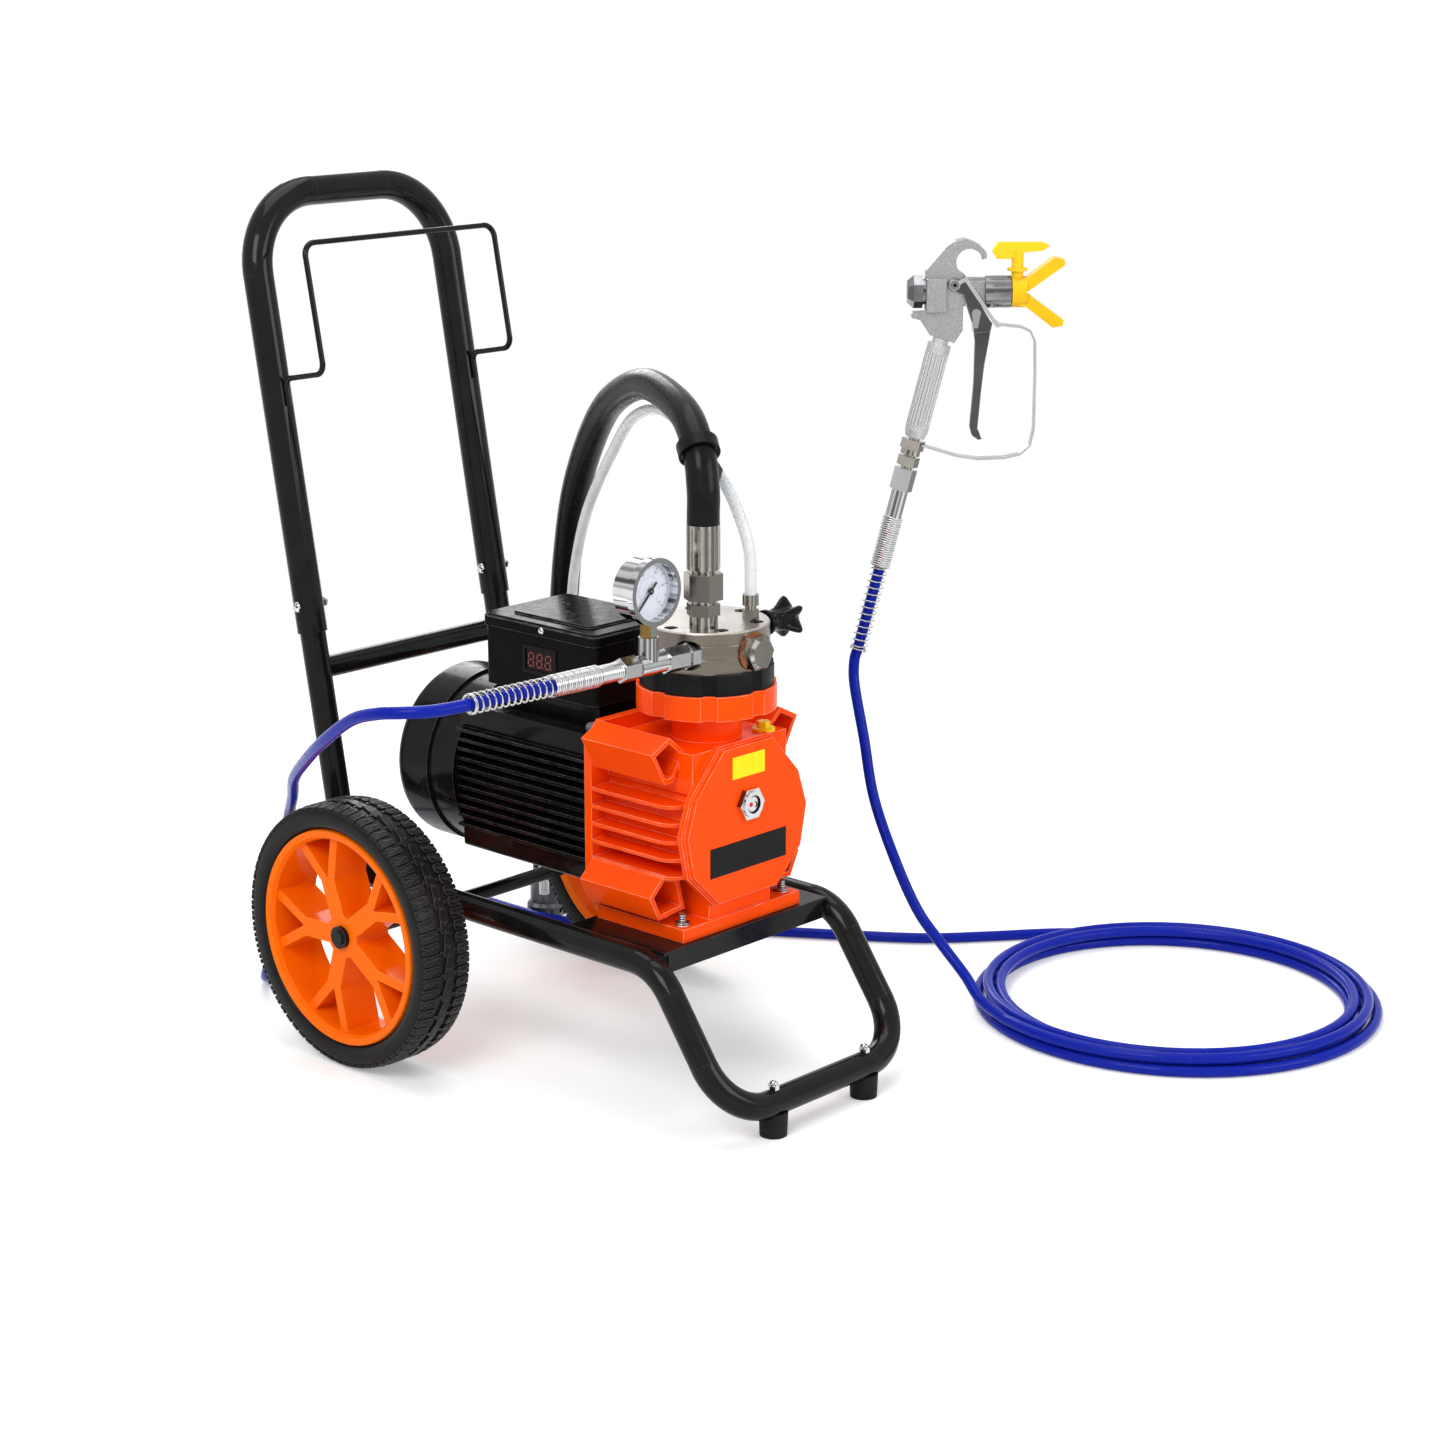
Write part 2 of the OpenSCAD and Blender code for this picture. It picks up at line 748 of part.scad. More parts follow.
module tyre_right() {
  color("#1c1c1c")
    on_wheel(1)
      tyre_shape();
}

// ---------- Motor ----------
stator_r = stator_d / 2;
housing_r = stator_r + 8;
corner_x = 66;
corner_size = 26;
module housing_section() {
  difference() {
    union() {
      circle(housing_r, $fn = 96);
      for (i = [0:fin_count - 1])
        translate([-housing_half, (i - (fin_count - 1) / 2) * fin_pitch - 1.5])
          square([2 * housing_half, 3]);
      for (x = [-corner_x, corner_x], z = [-corner_x, corner_x])
        translate([x, z])
          soft_square(corner_size, corner_size, 5);
      for (x = [-3.5:1:3.5])
        translate([x * fin_pitch - 1.5, -housing_half + 3])
          square([3, housing_half]);
    }
    circle(stator_r, $fn = 96);
  }
}
saddle_w = 90;
module motor_housing() {
  color("#111111")
    difference() {
      union() {
        along_shaft(flange_back, housing_back)
          housing_section();
        // Saddle under the control box
        translate([-saddle_w / 2, box_front + 12, shaft_z + 40])
          cube([saddle_w, box_len - 24, box_floor - shaft_z - 40]);
      }
      along_shaft(flange_back - cut, housing_back + cut)
        circle(stator_r, $fn = 96);
      // Room for the leads
      translate([-saddle_w / 2 + 8, box_front + 22, shaft_z + housing_r + 3])
        cube([saddle_w - 16, box_len - 44, box_floor]);
    }
}

hub_wall = 6;
module motor_end_shield() {
  shield_r = cowl_d / 2 - cowl_wall - fit_gap;
  color("#121212")
    difference() {
      union() {
        along_shaft(housing_back, shield_back)
          difference() {
            circle(shield_r, $fn = 96);
            circle(shield_r - 6, $fn = 96);
          }
        along_shaft(housing_back, housing_back + 8)
          circle(shield_r - 5, $fn = 96);
        along_shaft(housing_back, rear_bearing_y + bearing_w)
          circle(bearing_r + hub_wall);
      }
      along_shaft(rear_bearing_y, rear_bearing_y + bearing_w + cut)
        circle(bearing_r + fit_gap);
      along_shaft(housing_back - cut, rear_bearing_y + cut)
        circle(shaft_r + 2);
    }
}

cowl_wall = 3;
module fan_cowl() {
  cowl_r = cowl_d / 2;
  round_r = 14;
  color("#101010")
    translate([0, 0, shaft_z])
      rotate([-90, 0, 0])
        difference() {
          rotate_extrude($fn = 96)
            difference() {
              union() {
                translate([0, shield_back - 8])
                  square([cowl_r, cowl_len + 8 - round_r]);
                translate([0, cowl_back - round_r - cut])
                  square([cowl_r - round_r, round_r + cut]);
                translate([cowl_r - round_r, cowl_back - round_r])
                  circle(round_r);
              }
              translate([-cut, shield_back - 8 - cut])
                square([cowl_r - cowl_wall + cut, cowl_len + 8 + cut - round_r]);
              translate([-cut, shield_back])
                square([cowl_r - round_r + cut, cowl_len - cowl_wall]);
              translate([cowl_r - round_r, cowl_back - round_r])
                circle(round_r - cowl_wall);
            }
          // Grille: rings of air holes in the rear wall
          for (ring = [1:4], i = [0:ring * 6 - 1])
            rotate([0, 0, 60 / ring * i])
              translate([ring * 16, 0, cowl_back - 2 * cowl_wall])
                cylinder(h = 3 * cowl_wall, r = 4.5, $fn = 24);
        }
}

fan_y = 34;
module cooling_fan() {
  color("#2a2a2a")
    translate([0, 0, shaft_z])
      rotate([-90, 0, 0])
        difference() {
          union() {
            translate([0, 0, fan_y])
              cylinder(h = 20, r = shaft_r + 6);
            translate([0, 0, fan_y])
              cylinder(h = 3, r = 60);
            for (i = [0:blade_count - 1])
              rotate([0, 0, 360 / blade_count * i])
                translate([shaft_r + 4, -1.25, fan_y])
                  cube([68, 2.5, 20]);
          }
          translate([0, 0, fan_y - cut])
            cylinder(h = 22, r = shaft_r + fit_gap);
        }
}

air_gap = 0.6;
module stator() {
  color("#8a8d90")
    along_shaft(core_y, core_y + core_len)
      difference() {
        circle(stator_r - fit_gap, $fn = 96);
        circle(rotor_d / 2 + air_gap);
      }
  color("#b06a2c")
    for (y = [core_y - 18, core_y + core_len])
      along_shaft(y, y + 18)
        difference() {
          circle(stator_r - 5);
          circle(rotor_d / 2 + 5);
        }
}

module rotor_shaft() {
  color("#9a9da0") {
    along_shaft(cover_back - 2, fan_y + 24)
      circle(shaft_r);
    along_shaft(core_y, core_y + core_len)
      difference() {
        circle(rotor_d / 2);
        circle(shaft_r);
      }
  }
}

module shaft_bearings() {
  color("#c2c4c6")
    for (y = [rear_bearing_y, mid_bearing_y, front_bearing_y])
      along_shaft(y, y + bearing_w)
        difference() {
          circle(bearing_r);
          circle(shaft_r + run_gap);
        }
}

eccentric_w = 20;
module eccentric() {
  color("#7c7f82")
    translate([0, pump_y + eccentric_w / 2, shaft_z])
      rotate([90, 0, 0])
        difference() {
          translate([0, throw, 0])
            cylinder(h = eccentric_w, r = eccentric_r);
          translate([0, 0, -cut])
            cylinder(h = eccentric_w + 2 * cut, r = shaft_r + fit_gap);
        }
}

// ---------- Control box ----------
box_mid_y = box_back - box_len / 2;
window_at = [-box_w / 2, -124, box_floor + 36];
window_w = 46;
window_h = 26;
gland_at = [30, box_back, box_floor + 20];
gland_r = 4.5;
switch_at = [box_w / 2, -122, box_floor + 34];
switch_w = 30;
switch_h = 22;
switch_ear = 3;
switch_pin_r = 1.5;
switch_pivot = switch_at - [8, 0, 0];
module control_box() {
  body_h = box_h - lid_h;
  color("#0f0f0f") {
    difference() {
      union() {
        translate([0, box_mid_y, box_floor])
          soft_box(box_w - 4, box_len - 4, body_h, 8);
        // Cable gland of the mains lead
        along(gland_at - [0, 3, 0], [0, 1, 0]) {
          hex_bar(7, 22);
          cylinder(h = 20, r = 9);
        }
      }
      translate([0, box_mid_y, box_floor + box_wall])
        soft_box(box_w - 4 - 2 * box_wall, box_len - 4 - 2 * box_wall, body_h, 5);
      translate([0, box_mid_y, box_floor - cut])
        cylinder(h = 3 * box_wall, r = 14);
      translate([window_at[0] - cut, window_at[1] - window_w / 2, window_at[2] - window_h / 2])
        cube([4 * box_wall, window_w, window_h]);
      translate([switch_at[0] - 4 * box_wall, switch_at[1] - switch_w / 2, switch_at[2] - switch_h / 2])
        cube([5 * box_wall, switch_w, switch_h]);
      along(gland_at - [0, 4 * box_wall, 0], [0, 1, 0])
        cylinder(h = 50, r = gland_r);
    }
    // Ears behind the wall, which hold the rocker's pins
    for (side = [-1, 1])
      difference() {
        translate([switch_pivot[0] - 4, switch_at[1] + side * (switch_w + switch_ear) / 2 - switch_ear / 2, switch_at[2] - 4])
          cube([box_w / 2 - 2 - box_wall + seam - switch_pivot[0] + 4, switch_ear, 8]);
        along(switch_pivot - [0, switch_w, 0], [0, 1, 0])
          cylinder(h = 2 * switch_w, r = switch_pin_r + run_gap);
      }
  }
}

lid_screw_z = 7;
function lid_screw_places() = [for (x = [-1, 1], y = [box_mid_y - 6]) [x, y]];
module control_box_lid() {
  color("#0f0f0f")
    difference() {
      union() {
        translate([0, box_mid_y, box_top - lid_h])
          soft_box(box_w, box_len, lid_h - 3, 8);
        translate([0, box_mid_y, box_top - 3 - cut])
          soft_box(box_w - 5, box_len - 5, 3 + cut, 8);
        translate([0, box_mid_y, box_top - cut])
          soft_box(box_w - 40, box_len - 50, 2.5 + cut, 8);
      }
      translate([0, box_mid_y, box_top - lid_h - cut])
        soft_box(box_w - 10, box_len - 10, lid_h - 3, 5);
      for (p = lid_screw_places())
        along([p[0] * box_w / 2, p[1], box_top - lid_screw_z], [p[0], 0, 0])
          translate([0, 0, -8])
            cylinder(h = 10, r = 2);
    }
  // Screws through the lid's skirt
  color("#cfcfcf")
    for (p = lid_screw_places())
      along([p[0] * (box_w / 2 - 7), p[1], box_top - lid_screw_z], [p[0], 0, 0]) {
        cylinder(h = 7, r = 2);
        translate([0, 0, 7])
          dome(2.4, 4);
      }
}

module display_module() {
  color("#1a0d0d") {
    translate([window_at[0] + 2, window_at[1] - window_w / 2, window_at[2] - window_h / 2])
      cube([10, window_w, window_h]);
    // Frame of the window
    translate([window_at[0] + 0.6, window_at[1], window_at[2]])
      difference() {
        translate([0, -window_w / 2 - 2, -window_h / 2 - 2])
          cube([1.4, window_w + 4, window_h + 4]);
        translate([-cut, -window_w / 2 + 2, -window_h / 2 + 2])
          cube([4, window_w - 4, window_h - 4]);
      }
  }
}

module power_switch() {
  color("#a01010")
    translate(switch_pivot)
      rotate([0, 5, 0]) {
        translate([1, -switch_w / 2 + face_gap, -switch_h / 2 + 1.6])
          cube([8, switch_w - 2 * face_gap, switch_h - 3.2]);
        // Barrel and the two pins that it rocks on
        rotate([90, 0, 0]) {
          translate([0, 0, face_gap - switch_w / 2])
            cylinder(h = switch_w - 2 * face_gap, r = 3);
          translate([0, 0, -switch_w / 2 - switch_ear])
            cylinder(h = switch_w + 2 * switch_ear, r = switch_pin_r);
        }
      }
}

// ---------- Crankcase ----------
base_h = 14;
case_bore = barrel_d / 2 - 12;
upper_duct = [[-109, 86], [-83, 99], [-60, 80], [-78, 52], [-90, 52]];
lower_duct = [[-113, -62], [-92, -42], [-70, -50], [-62, -84], [-100, -88]];
module duct(outline, inner) {
  difference() {
    along_shaft(cover_back + 19, flange_front)
      polygon(outline);
    along_shaft(cover_back - 4, flange_front - 2)
      polygon(inner);
  }
}
function shrunk(p, c, k) = [for (q = p) c + (q - c) * k];
module crankcase_solid() {
  half = flange_half;
  // Rear flange
  along_shaft(flange_front, flange_back)
    polygon([
      [-half, -78], [-half + 18, -shaft_z + deck_z], [half - 18, -shaft_z + deck_z], [half, -78],
      [half, 78], [half - 18, 98], [-half + 18, 98], [-half, 78]
    ]);
  along_shaft(cover_back, flange_front)
    circle(barrel_d / 2, $fn = 96);
  // Side fins
  for (i = [-2:2])
    translate([0, 0, shaft_z - 9 + i * 18.5])
      linear_extrude(3.5)
        fin_plan();
  // Base on the deck
  translate([-88, cover_front + 8, deck_z])
    cube([176, flange_front - cover_front - 8, base_h]);
  translate([-46, cover_back, deck_z])
    cube([92, barrel_len, 50]);
  mirrored([1, 0, 0]) {
    duct(upper_duct, shrunk(upper_duct, [-85, 75], 0.76));
    duct(lower_duct, shrunk(lower_duct, [-88, -66], 0.76));
  }
  // Top shoulder, neck and lobed flange
  translate([-70, cover_back, shaft_z + 40])
    cube([140, barrel_len, 42]);
  translate([0, pump_y, shaft_z])
    cylinder(h = neck_top() - shaft_z + cut, r = neck_d / 2);
  translate([0, pump_y, neck_top()])
    linear_extrude(lobe_t)
      lobed(lobe_d / 2, 8);
}
module fin_plan() {
  difference() {
    union() {
      translate([-flange_half, cover_back + 24])
        square([2 * flange_half, barrel_len - 24]);
      translate([-flange_half + 24, cover_back + 2])
        square([2 * (flange_half - 24), 30]);
      for (x = [-1, 1])
        translate([x * (flange_half - 24), cover_back + 26])
          circle(24);
    }
    translate([-case_bore, cover_back - cut])
      square([2 * case_bore, barrel_len]);
  }
}
// Round plate with scallops
module lobed(r, count) {
  difference() {
    circle(r, $fn = 96);
    for (i = [1:count])
      rotate(360 / count * i)
        translate([r + 5, 0])
          circle(10);
  }
}
module crankcase() {
  color("#f04a0c")
    difference() {
      crankcase_solid();
      along_shaft(cover_back - cut, mid_bearing_y - 4)
        circle(case_bore);
      along_shaft(mid_bearing_y - 5, mid_bearing_y)
        circle(shaft_r + 4);
      along_shaft(mid_bearing_y, flange_back + cut)
        circle(bearing_r + fit_gap);
      // Spring chamber and piston guide
      translate([0, pump_y, shaft_z])
        cylinder(h = guide_z - shaft_z, r = piston_d / 2 + 8);
      translate([0, pump_y, shaft_z])
        cylinder(h = ring_z - shaft_z + cut, r = piston_d / 2 + fit_gap);
      for (p = base_bolt_places())
        translate([p[0], p[1], deck_z - cut])
          cylinder(h = base_h + 2 * cut, r = base_bolt_d / 2 + face_gap);
      translate([oil_at[0], oil_at[1], oil_at[2] - 16])
        cylinder(h = 20, r = 8 + fit_gap);
    }
}

oil_at = [50, -337, shaft_z + 82];
module oil_cap() {
  color("#f2d60a")
    translate(oil_at) {
      translate([0, 0, -12])
        cylinder(h = 12, r = 8);
      cylinder(h = 3, r = 12);
      translate([0, 0, 3])
        hex_bar(7, 12);
    }
}

cover_outline = [
  [-36, 82], [-76, 39], [-89, 1], [-80, -42], [-44, -77],
  [44, -77], [80, -42], [89, 1], [76, 39], [36, 82]
];
glass_z = shaft_z + 20;
module crankcase_cover() {
  color("#f04a0c")
    difference() {
      union() {
        along_shaft(cover_front, cover_front + 6)
          polygon(cover_outline);
        along_shaft(cover_front + 6, cover_back)
          polygon(shrunk(cover_outline, [0, 0], 1.04));
        // Hub that carries the shaft's front bearing
        along_shaft(cover_back - cut, front_bearing_y + bearing_w)
          circle(bearing_r + 5);
      }
      along_shaft(front_bearing_y, front_bearing_y + bearing_w + cut)
        circle(bearing_r + fit_gap);
      along_shaft(cover_back - 3, front_bearing_y + cut)
        circle(shaft_r + 1);
      facing_front(cover_back - 4)
        translate([0, glass_z, 0])
          cylinder(h = cover_t, r = 11.5);
    }
}

module sight_glass() {
  color("#d0d0d0")
    facing_front(cover_front)
      translate([0, glass_z, 0])
        difference() {
          union() {
            translate([0, 0, -7])
              cylinder(h = 8, r = 11.5);
            hex_bar(6, 31);
            translate([0, 0, 5])
              cylinder(h = 3, r = 14);
          }
          translate([0, 0, 4])
            cylinder(h = 8, r = 9.5);
        }
  // Glass with its level dot
  color("#e8e8e8")
    facing_front(cover_front - 4)
      translate([0, glass_z, 0])
        cylinder(h = 2, r = 9.5);
}

module base_bolts() {
  color("#b8b8b8")
    for (p = base_bolt_places()) {
      // The front pair are studs with washers; the rear pair end inside the base
      front = p[1] < pump_y;
      reach = deck_t + 8 + base_h;
      translate([p[0], p[1], deck_z - deck_t - 8]) {
        cylinder(h = front ? reach + 12 : reach - 1, r = base_bolt_d / 2);
        hex_bar(8, 13);
        if (front)
          translate([0, 0, reach])
            tube(3, 8, base_bolt_d / 2);
      }
    }
}

// ---------- Pump ----------
piston_top = 426;
guide_z = neck_top() - 3;
collar_h = 5;
module piston() {
  color("#a6a9ac")
    translate([0, pump_y, follower_z]) {
      cylinder(h = piston_top - follower_z, r = piston_d / 2);
      // Collar that the return spring pushes on
      translate([0, 0, 8])
        cylinder(h = collar_h, r = piston_d / 2 + 7);
    }
}
piston_curls = 5;
spring_low = follower_z + 8 + collar_h + 1.6;
spring_path = [for (i = [0:8 * piston_curls]) [
  (piston_d / 2 + 4) * cos(45 * i), pump_y + (piston_d / 2 + 4) * sin(45 * i),
  spring_low + (guide_z - 1.6 - spring_low) * i / (8 * piston_curls)]];
echo(least_gap_piston_spring_mm = least_gap(spring_path, 6, 1.5));
module piston_spring() {
  color("#8f9295")
    swept_tube(spring_path, 1.5, 6);
}

diaphragm_t = 3;
module diaphragm() {
  color("#30302c")
    translate([0, pump_y, head_z - diaphragm_t])
      cylinder(h = diaphragm_t, r = head_r - 12 - fit_gap);
}

module clamp_ring() {
  color("#1b1b1b")
    translate([0, pump_y, ring_z])
      difference() {
        linear_extrude(ring_t)
          lobed(lobe_d / 2 - 3, 8);
        translate([0, 0, -cut])
          cylinder(h = ring_t + 2 * cut, r = head_r - 24);
        translate([0, 0, ring_t - diaphragm_t])
          cylinder(h = diaphragm_t + cut, r = head_r - 12);
      }
}

port_r = 9;
plug_r = 13;
stem_r = 6;
function head_screw_places() = [for (i = [0:5]) screw_ring_r * [cos(60 * i), sin(60 * i)]];
module pump_head() {
  color("#b7afa6")
    difference() {
      translate([0, pump_y, head_z])
        rotate_extrude($fn = 96)
          polygon([
            [0, 0], [head_r, 0], [head_r, 15], [head_r - 0.8, 15.6], [head_r, 16.2], [head_r, 29],
            [head_r - 0.8, 29.6], [head_r, 30.2], [head_r, head_h - 1.5], [head_r - 1.5, head_h],
            [0, head_h]
          ]);
      for (p = head_screw_places())
        translate([p[0], pump_y + p[1], head_top - 8])
          cylinder(h = 9, r = 7);
      // Inlet, return, outlet, valve and knob ports
      translate([inlet_x, inlet_y, head_top - 14])
        cylinder(h = 20, r = 12);
      translate([return_x, return_y, head_top - 10])
        cylinder(h = 20, r = 5);
      along(outlet_at - outlet_dir * 14, outlet_dir)
        cylinder(h = 40, r = port_r);
      // Flat that the outlet's hex seats on
      along(outlet_at, outlet_dir)
        cylinder(h = 40, r = 15);
      facing_front(pump_y - head_r + 20)
        translate([0, port_z, 0])
          cylinder(h = 30, r = plug_r);
      facing_front(pump_y - head_r + 3)
        translate([0, port_z, 0])
          cylinder(h = 30, r = plug_r + 7);
      along([head_r - 24, knob_y, knob_z], [1, 0, 0])
        cylinder(h = 40, r = stem_r + run_gap);
    }
}

module head_screws() {
  color("#161616")
    for (p = head_screw_places())
      translate([p[0], pump_y + p[1], head_top - 8])
        difference() {
          cylinder(h = 7, r = 6.5);
          translate([0, 0, 3])
            hex_bar(5, 6);
        }
}

washer_t = 2.5;
module valve_plug() {
  seat = pump_y - head_r + 3;
  // Copper washer
  color("#b8622a")
    facing_front(seat)
      translate([0, port_z, 0])
        tube(washer_t, plug_r + 6.5, plug_r);
  color("#c4bfb8")
    facing_front(seat)
      translate([0, port_z, 0]) {
        translate([0, 0, -16])
          cylinder(h = 16 + washer_t, r = plug_r - fit_gap);
        translate([0, 0, washer_t]) {
          hex_bar(11, 33);
          translate([0, 0, 11])
            cylinder(h = 3, r1 = 16.5, r2 = 14);
        }
      }
}

module head_fittings() {
  color("#c9c6bf") {
    // Suction union: boss, hexagon, union nut, neck and crimped ferrule
    translate([inlet_x, inlet_y, head_top]) {
      translate([0, 0, -13])
        cylinder(h = 13, r = 12 - fit_gap);
      cylinder(h = boss_h, r = 14.5);
      translate([0, 0, boss_h])
        hex_bar(boss_hex_h, 30);
      translate([0, 0, boss_h + boss_hex_h])
        cylinder(h = stack_gap, r = 12.5);
      translate([0, 0, boss_h + boss_hex_h + stack_gap]) {
        hex_bar(union_h, 35);
        translate([0, 0, union_h])
          cylinder(h = stack_gap, r = 12);
        translate([0, 0, union_h + stack_gap])
          difference() {
            cylinder(h = ferrule_h, r = suction_d / 2 + 0.4);
            for (a = [0:30:330])
              rotate([0, 0, a])
                translate([suction_d / 2 + 1.4, 0, 4])
                  cylinder(h = ferrule_h - 8, r = 1.6, $fn = 24);
          }
      }
    }
    // Return fitting
    translate([return_x, return_y, head_top]) {
      translate([0, 0, -9])
        cylinder(h = 9, r = 5 - fit_gap);
      hex_bar(11, 15);
      translate([0, 0, 11])
        cylinder(h = 4, r = 6);
      translate([0, 0, 15])
        cylinder(h = 11, r = 8.5);
    }
  }
}

module outlet_tee() {
  color("#cfd0d0")
    along(outlet_at, outlet_dir) {
      translate([0, 0, -12])
        cylinder(h = 12, r = port_r - fit_gap);
      hex_bar(11, 24);
      translate([0, 0, 11])
        cylinder(h = 3, r = 9);
      translate([0, 0, 14])
        hex_bar(26, 23);
      translate([0, 0, 40])
        cylinder(h = tee_end - 43, r = 10.5);
      translate([0, 0, tee_end - 3])
        cylinder(h = 3, r = 8);
    }
  color("#cfd0d0")
    translate([gauge_x, gauge_y, port_z])
      cylinder(h = 28, r = 10);
}

module gauge_case() {
  r = gauge_d / 2;
  // Brass stem
  color("#b58a3a")
    translate([gauge_x, gauge_y, port_z + 28])
      hex_bar(gauge_z - r - port_z - 28 + 2, 15);
  color("#c8cacc")
    difference() {
      facing_front(gauge_front + gauge_t)
        translate([gauge_x, gauge_z, 0]) {
          cylinder(h = gauge_t - 6, r = r - 3);
          translate([0, 0, gauge_t - 6])
            tube(6, r, r - 5);
          translate([0, 0, gauge_t - 8])
            cylinder(h = 2, r = r);
        }
      facing_front(gauge_front + 12)
        translate([gauge_x, gauge_z, 0])
          cylinder(h = 14, r = r - 5);
      translate([gauge_x, gauge_y, port_z + 28])
        hex_bar(gauge_z - r - port_z - 28 + 2, 15);
    }
  // Dial plate
  color("#f4f4f2")
    facing_front(gauge_front + 12)
      translate([gauge_x, gauge_z, 0]) {
        tube(1, r - 5, 2);
        cylinder(h = 5, r = 1.2);
      }
}

needle_rest = 225;
module gauge_needle() {
  r = gauge_d / 2;
  color("#101010")
    translate([gauge_x, gauge_front + 9, gauge_z])
      rotate([90, 0, 0])
        rotate([0, 0, needle_rest])
          difference() {
            union() {
              cylinder(h = 1.2, r = 3.5);
              translate([-11, -0.9, 0])
                cube([r + 3, 1.8, 1.2]);
            }
            translate([0, 0, -cut])
              cylinder(h = 4, r = 1.2 + run_gap);
          }
}

module gauge_lens() {
  color([0.85, 0.9, 0.95, 0.35])
    facing_front(gauge_front + 4)
      translate([gauge_x, gauge_z, 0])
        cylinder(h = 2, r = gauge_d / 2 - 5 - fit_gap);
}

module pressure_knob() {
  r = knob_d / 2;
  // Steel stem
  color("#c4c4c4")
    along([head_r - 22, knob_y, knob_z], [1, 0, 0])
      cylinder(h = 38, r = stem_r);
  color("#121212")
    along([head_r + 8, knob_y, knob_z], [1, 0, 0])
      difference() {
        union() {
          cylinder(h = 28, r1 = 13, r2 = 11.5);
          translate([0, 0, 24])
            linear_extrude(20)
              knob_star(r);
          translate([0, 0, 44])
            dome(3, 12);
        }
        translate([0, 0, -cut])
          cylinder(h = 8 + cut, r = stem_r);
      }
}
module knob_star(r) {
  circle(r - 8);
  for (i = [0:4])
    rotate(72 * i)
      translate([r - 7, 0])
        circle(7);
}

// ---------- Suction side ----------
module suction_hose() {
  color("#1e1e1e")
    swept_tube(rounded_route(suction_route), suction_d / 2, 12);
}
strainer_r = 24;
module suction_strainer() {
  end = suction_route[len(suction_route) - 1];
  color("#55585a")
    translate([end[0], end[1], 0])
      difference() {
        union() {
          cylinder(h = 12, r = strainer_r);
          translate([0, 0, 12])
            cylinder(h = 4, r1 = strainer_r, r2 = strainer_r - 3);
          translate([0, 0, 16])
            cylinder(h = 18, r = strainer_r - 4);
          translate([0, 0, 34])
            cylinder(h = end[2] - 34, r1 = strainer_r - 4, r2 = suction_d / 2);
        }
        // Intake cavity and its slots
        translate([0, 0, 3])
          cylinder(h = 8, r = strainer_r - 4);
        for (a = [0:30:150])
          rotate([0, 0, a])
            translate([-2, -strainer_r - cut, 4])
              cube([4, 2 * strainer_r + 2 * cut, 6]);
      }
}
clip_w = 14;
clip_gap = 2;
module clip_band(route_index, tube_point) {
  p = suction_route[route_index];
  d = unit(suction_route[route_index + 1] - suction_route[route_index - 1]);
  to_tube = tube_point - p;
  across = unit(to_tube - d * (to_tube * d));
  along(p - d * clip_w / 2, d)
    tube(clip_w, suction_d / 2 + clip_gap + 2.7, suction_d / 2 + clip_gap);
  difference() {
    along(p + across * (suction_d / 2 + clip_gap + 2.3), across)
      translate([-clip_w / 2, -clip_w / 2, 0])
        cube([clip_w, clip_w, norm(to_tube - d * (to_tube * d)) - (suction_d + return_d) / 2 - clip_gap - 2.8]);
    bar(p - d * 20, p + d * 20, suction_d / 2 + clip_gap);
  }
}
module hose_clips() {
  color("#0c0c0c") {
    clip_band(3, return_route[5]);
    clip_band(13, return_route[15]);
  }
}
module return_tube() {
  color([0.9, 0.92, 0.94, 0.6])
    swept_tube(rounded_route(return_route), return_d / 2, 8);
}

// ---------- High-pressure hose ----------
module ferrule_set(hex_start, hex_end, thin, thick) {
  translate([0, 0, hex_start])
    hex_bar(hex_end - hex_start, 22);
  translate([0, 0, hex_end])
    cylinder(h = thin - hex_end, r = ferrule_thin_d / 2);
  translate([0, 0, thin])
    difference() {
      cylinder(h = thick - thin, r = ferrule_thick_d / 2);
      for (z = [4:4:thick - thin - 4])
        translate([0, 0, z])
          tube(1, ferrule_thick_d / 2 + cut, ferrule_thick_d / 2 - 0.6);
    }
}
module hose_ferrules() {
  color("#c8c9ca") {
    along(outlet_at, outlet_dir)
      ferrule_set(tee_end, line_hex_end, thin_end, thick_end);
    // Gun end: swivel nut on its nipple
    translate(gun_at)
      rotate([0, 0, gun_heading])
        along([0, 0, 0], gun_line) {
          ferrule_set(swivel_start, swivel_end, gun_thin_end, gun_thick_end);
        }
  }
}
// Helix of one spring guard, from its ferrule along +Z
function helix(n, length) = [for (i = [0:8 * n]) [
  guard_r * cos(45 * i), guard_r * sin(45 * i),
  guard_wire / 2 + (length - guard_wire) * i / (8 * n)]];
module spring_guard() {
  swept_tube(helix(curls, guard_len), guard_wire / 2, 6);
}
echo(least_gap_spring_guard_mm = least_gap(helix(curls, guard_len), 6, guard_wire / 2));
module spring_guards() {
  color("#d5d6d7") {
    along(outlet_at + outlet_dir * thick_end, outlet_dir)
      spring_guard();
    along(gun_to_world(gun_line * gun_thick_end), gun_line_world)
      spring_guard();
  }
}
// The hose runs on inside each spring guard up to the ferrule's face
run_path = concat([outlet_at + outlet_dir * thick_end], rounded_route(run_route));
riser_path = concat(rounded_route(riser_route), [gun_to_world(gun_line * gun_thick_end)]);
module hose_run() {
  color("#1626c8")
    swept_tube(run_path, hose_r, 8);
}
module hose_riser() {
  color("#1626c8")
    swept_tube(riser_path, hose_r, 8);
}
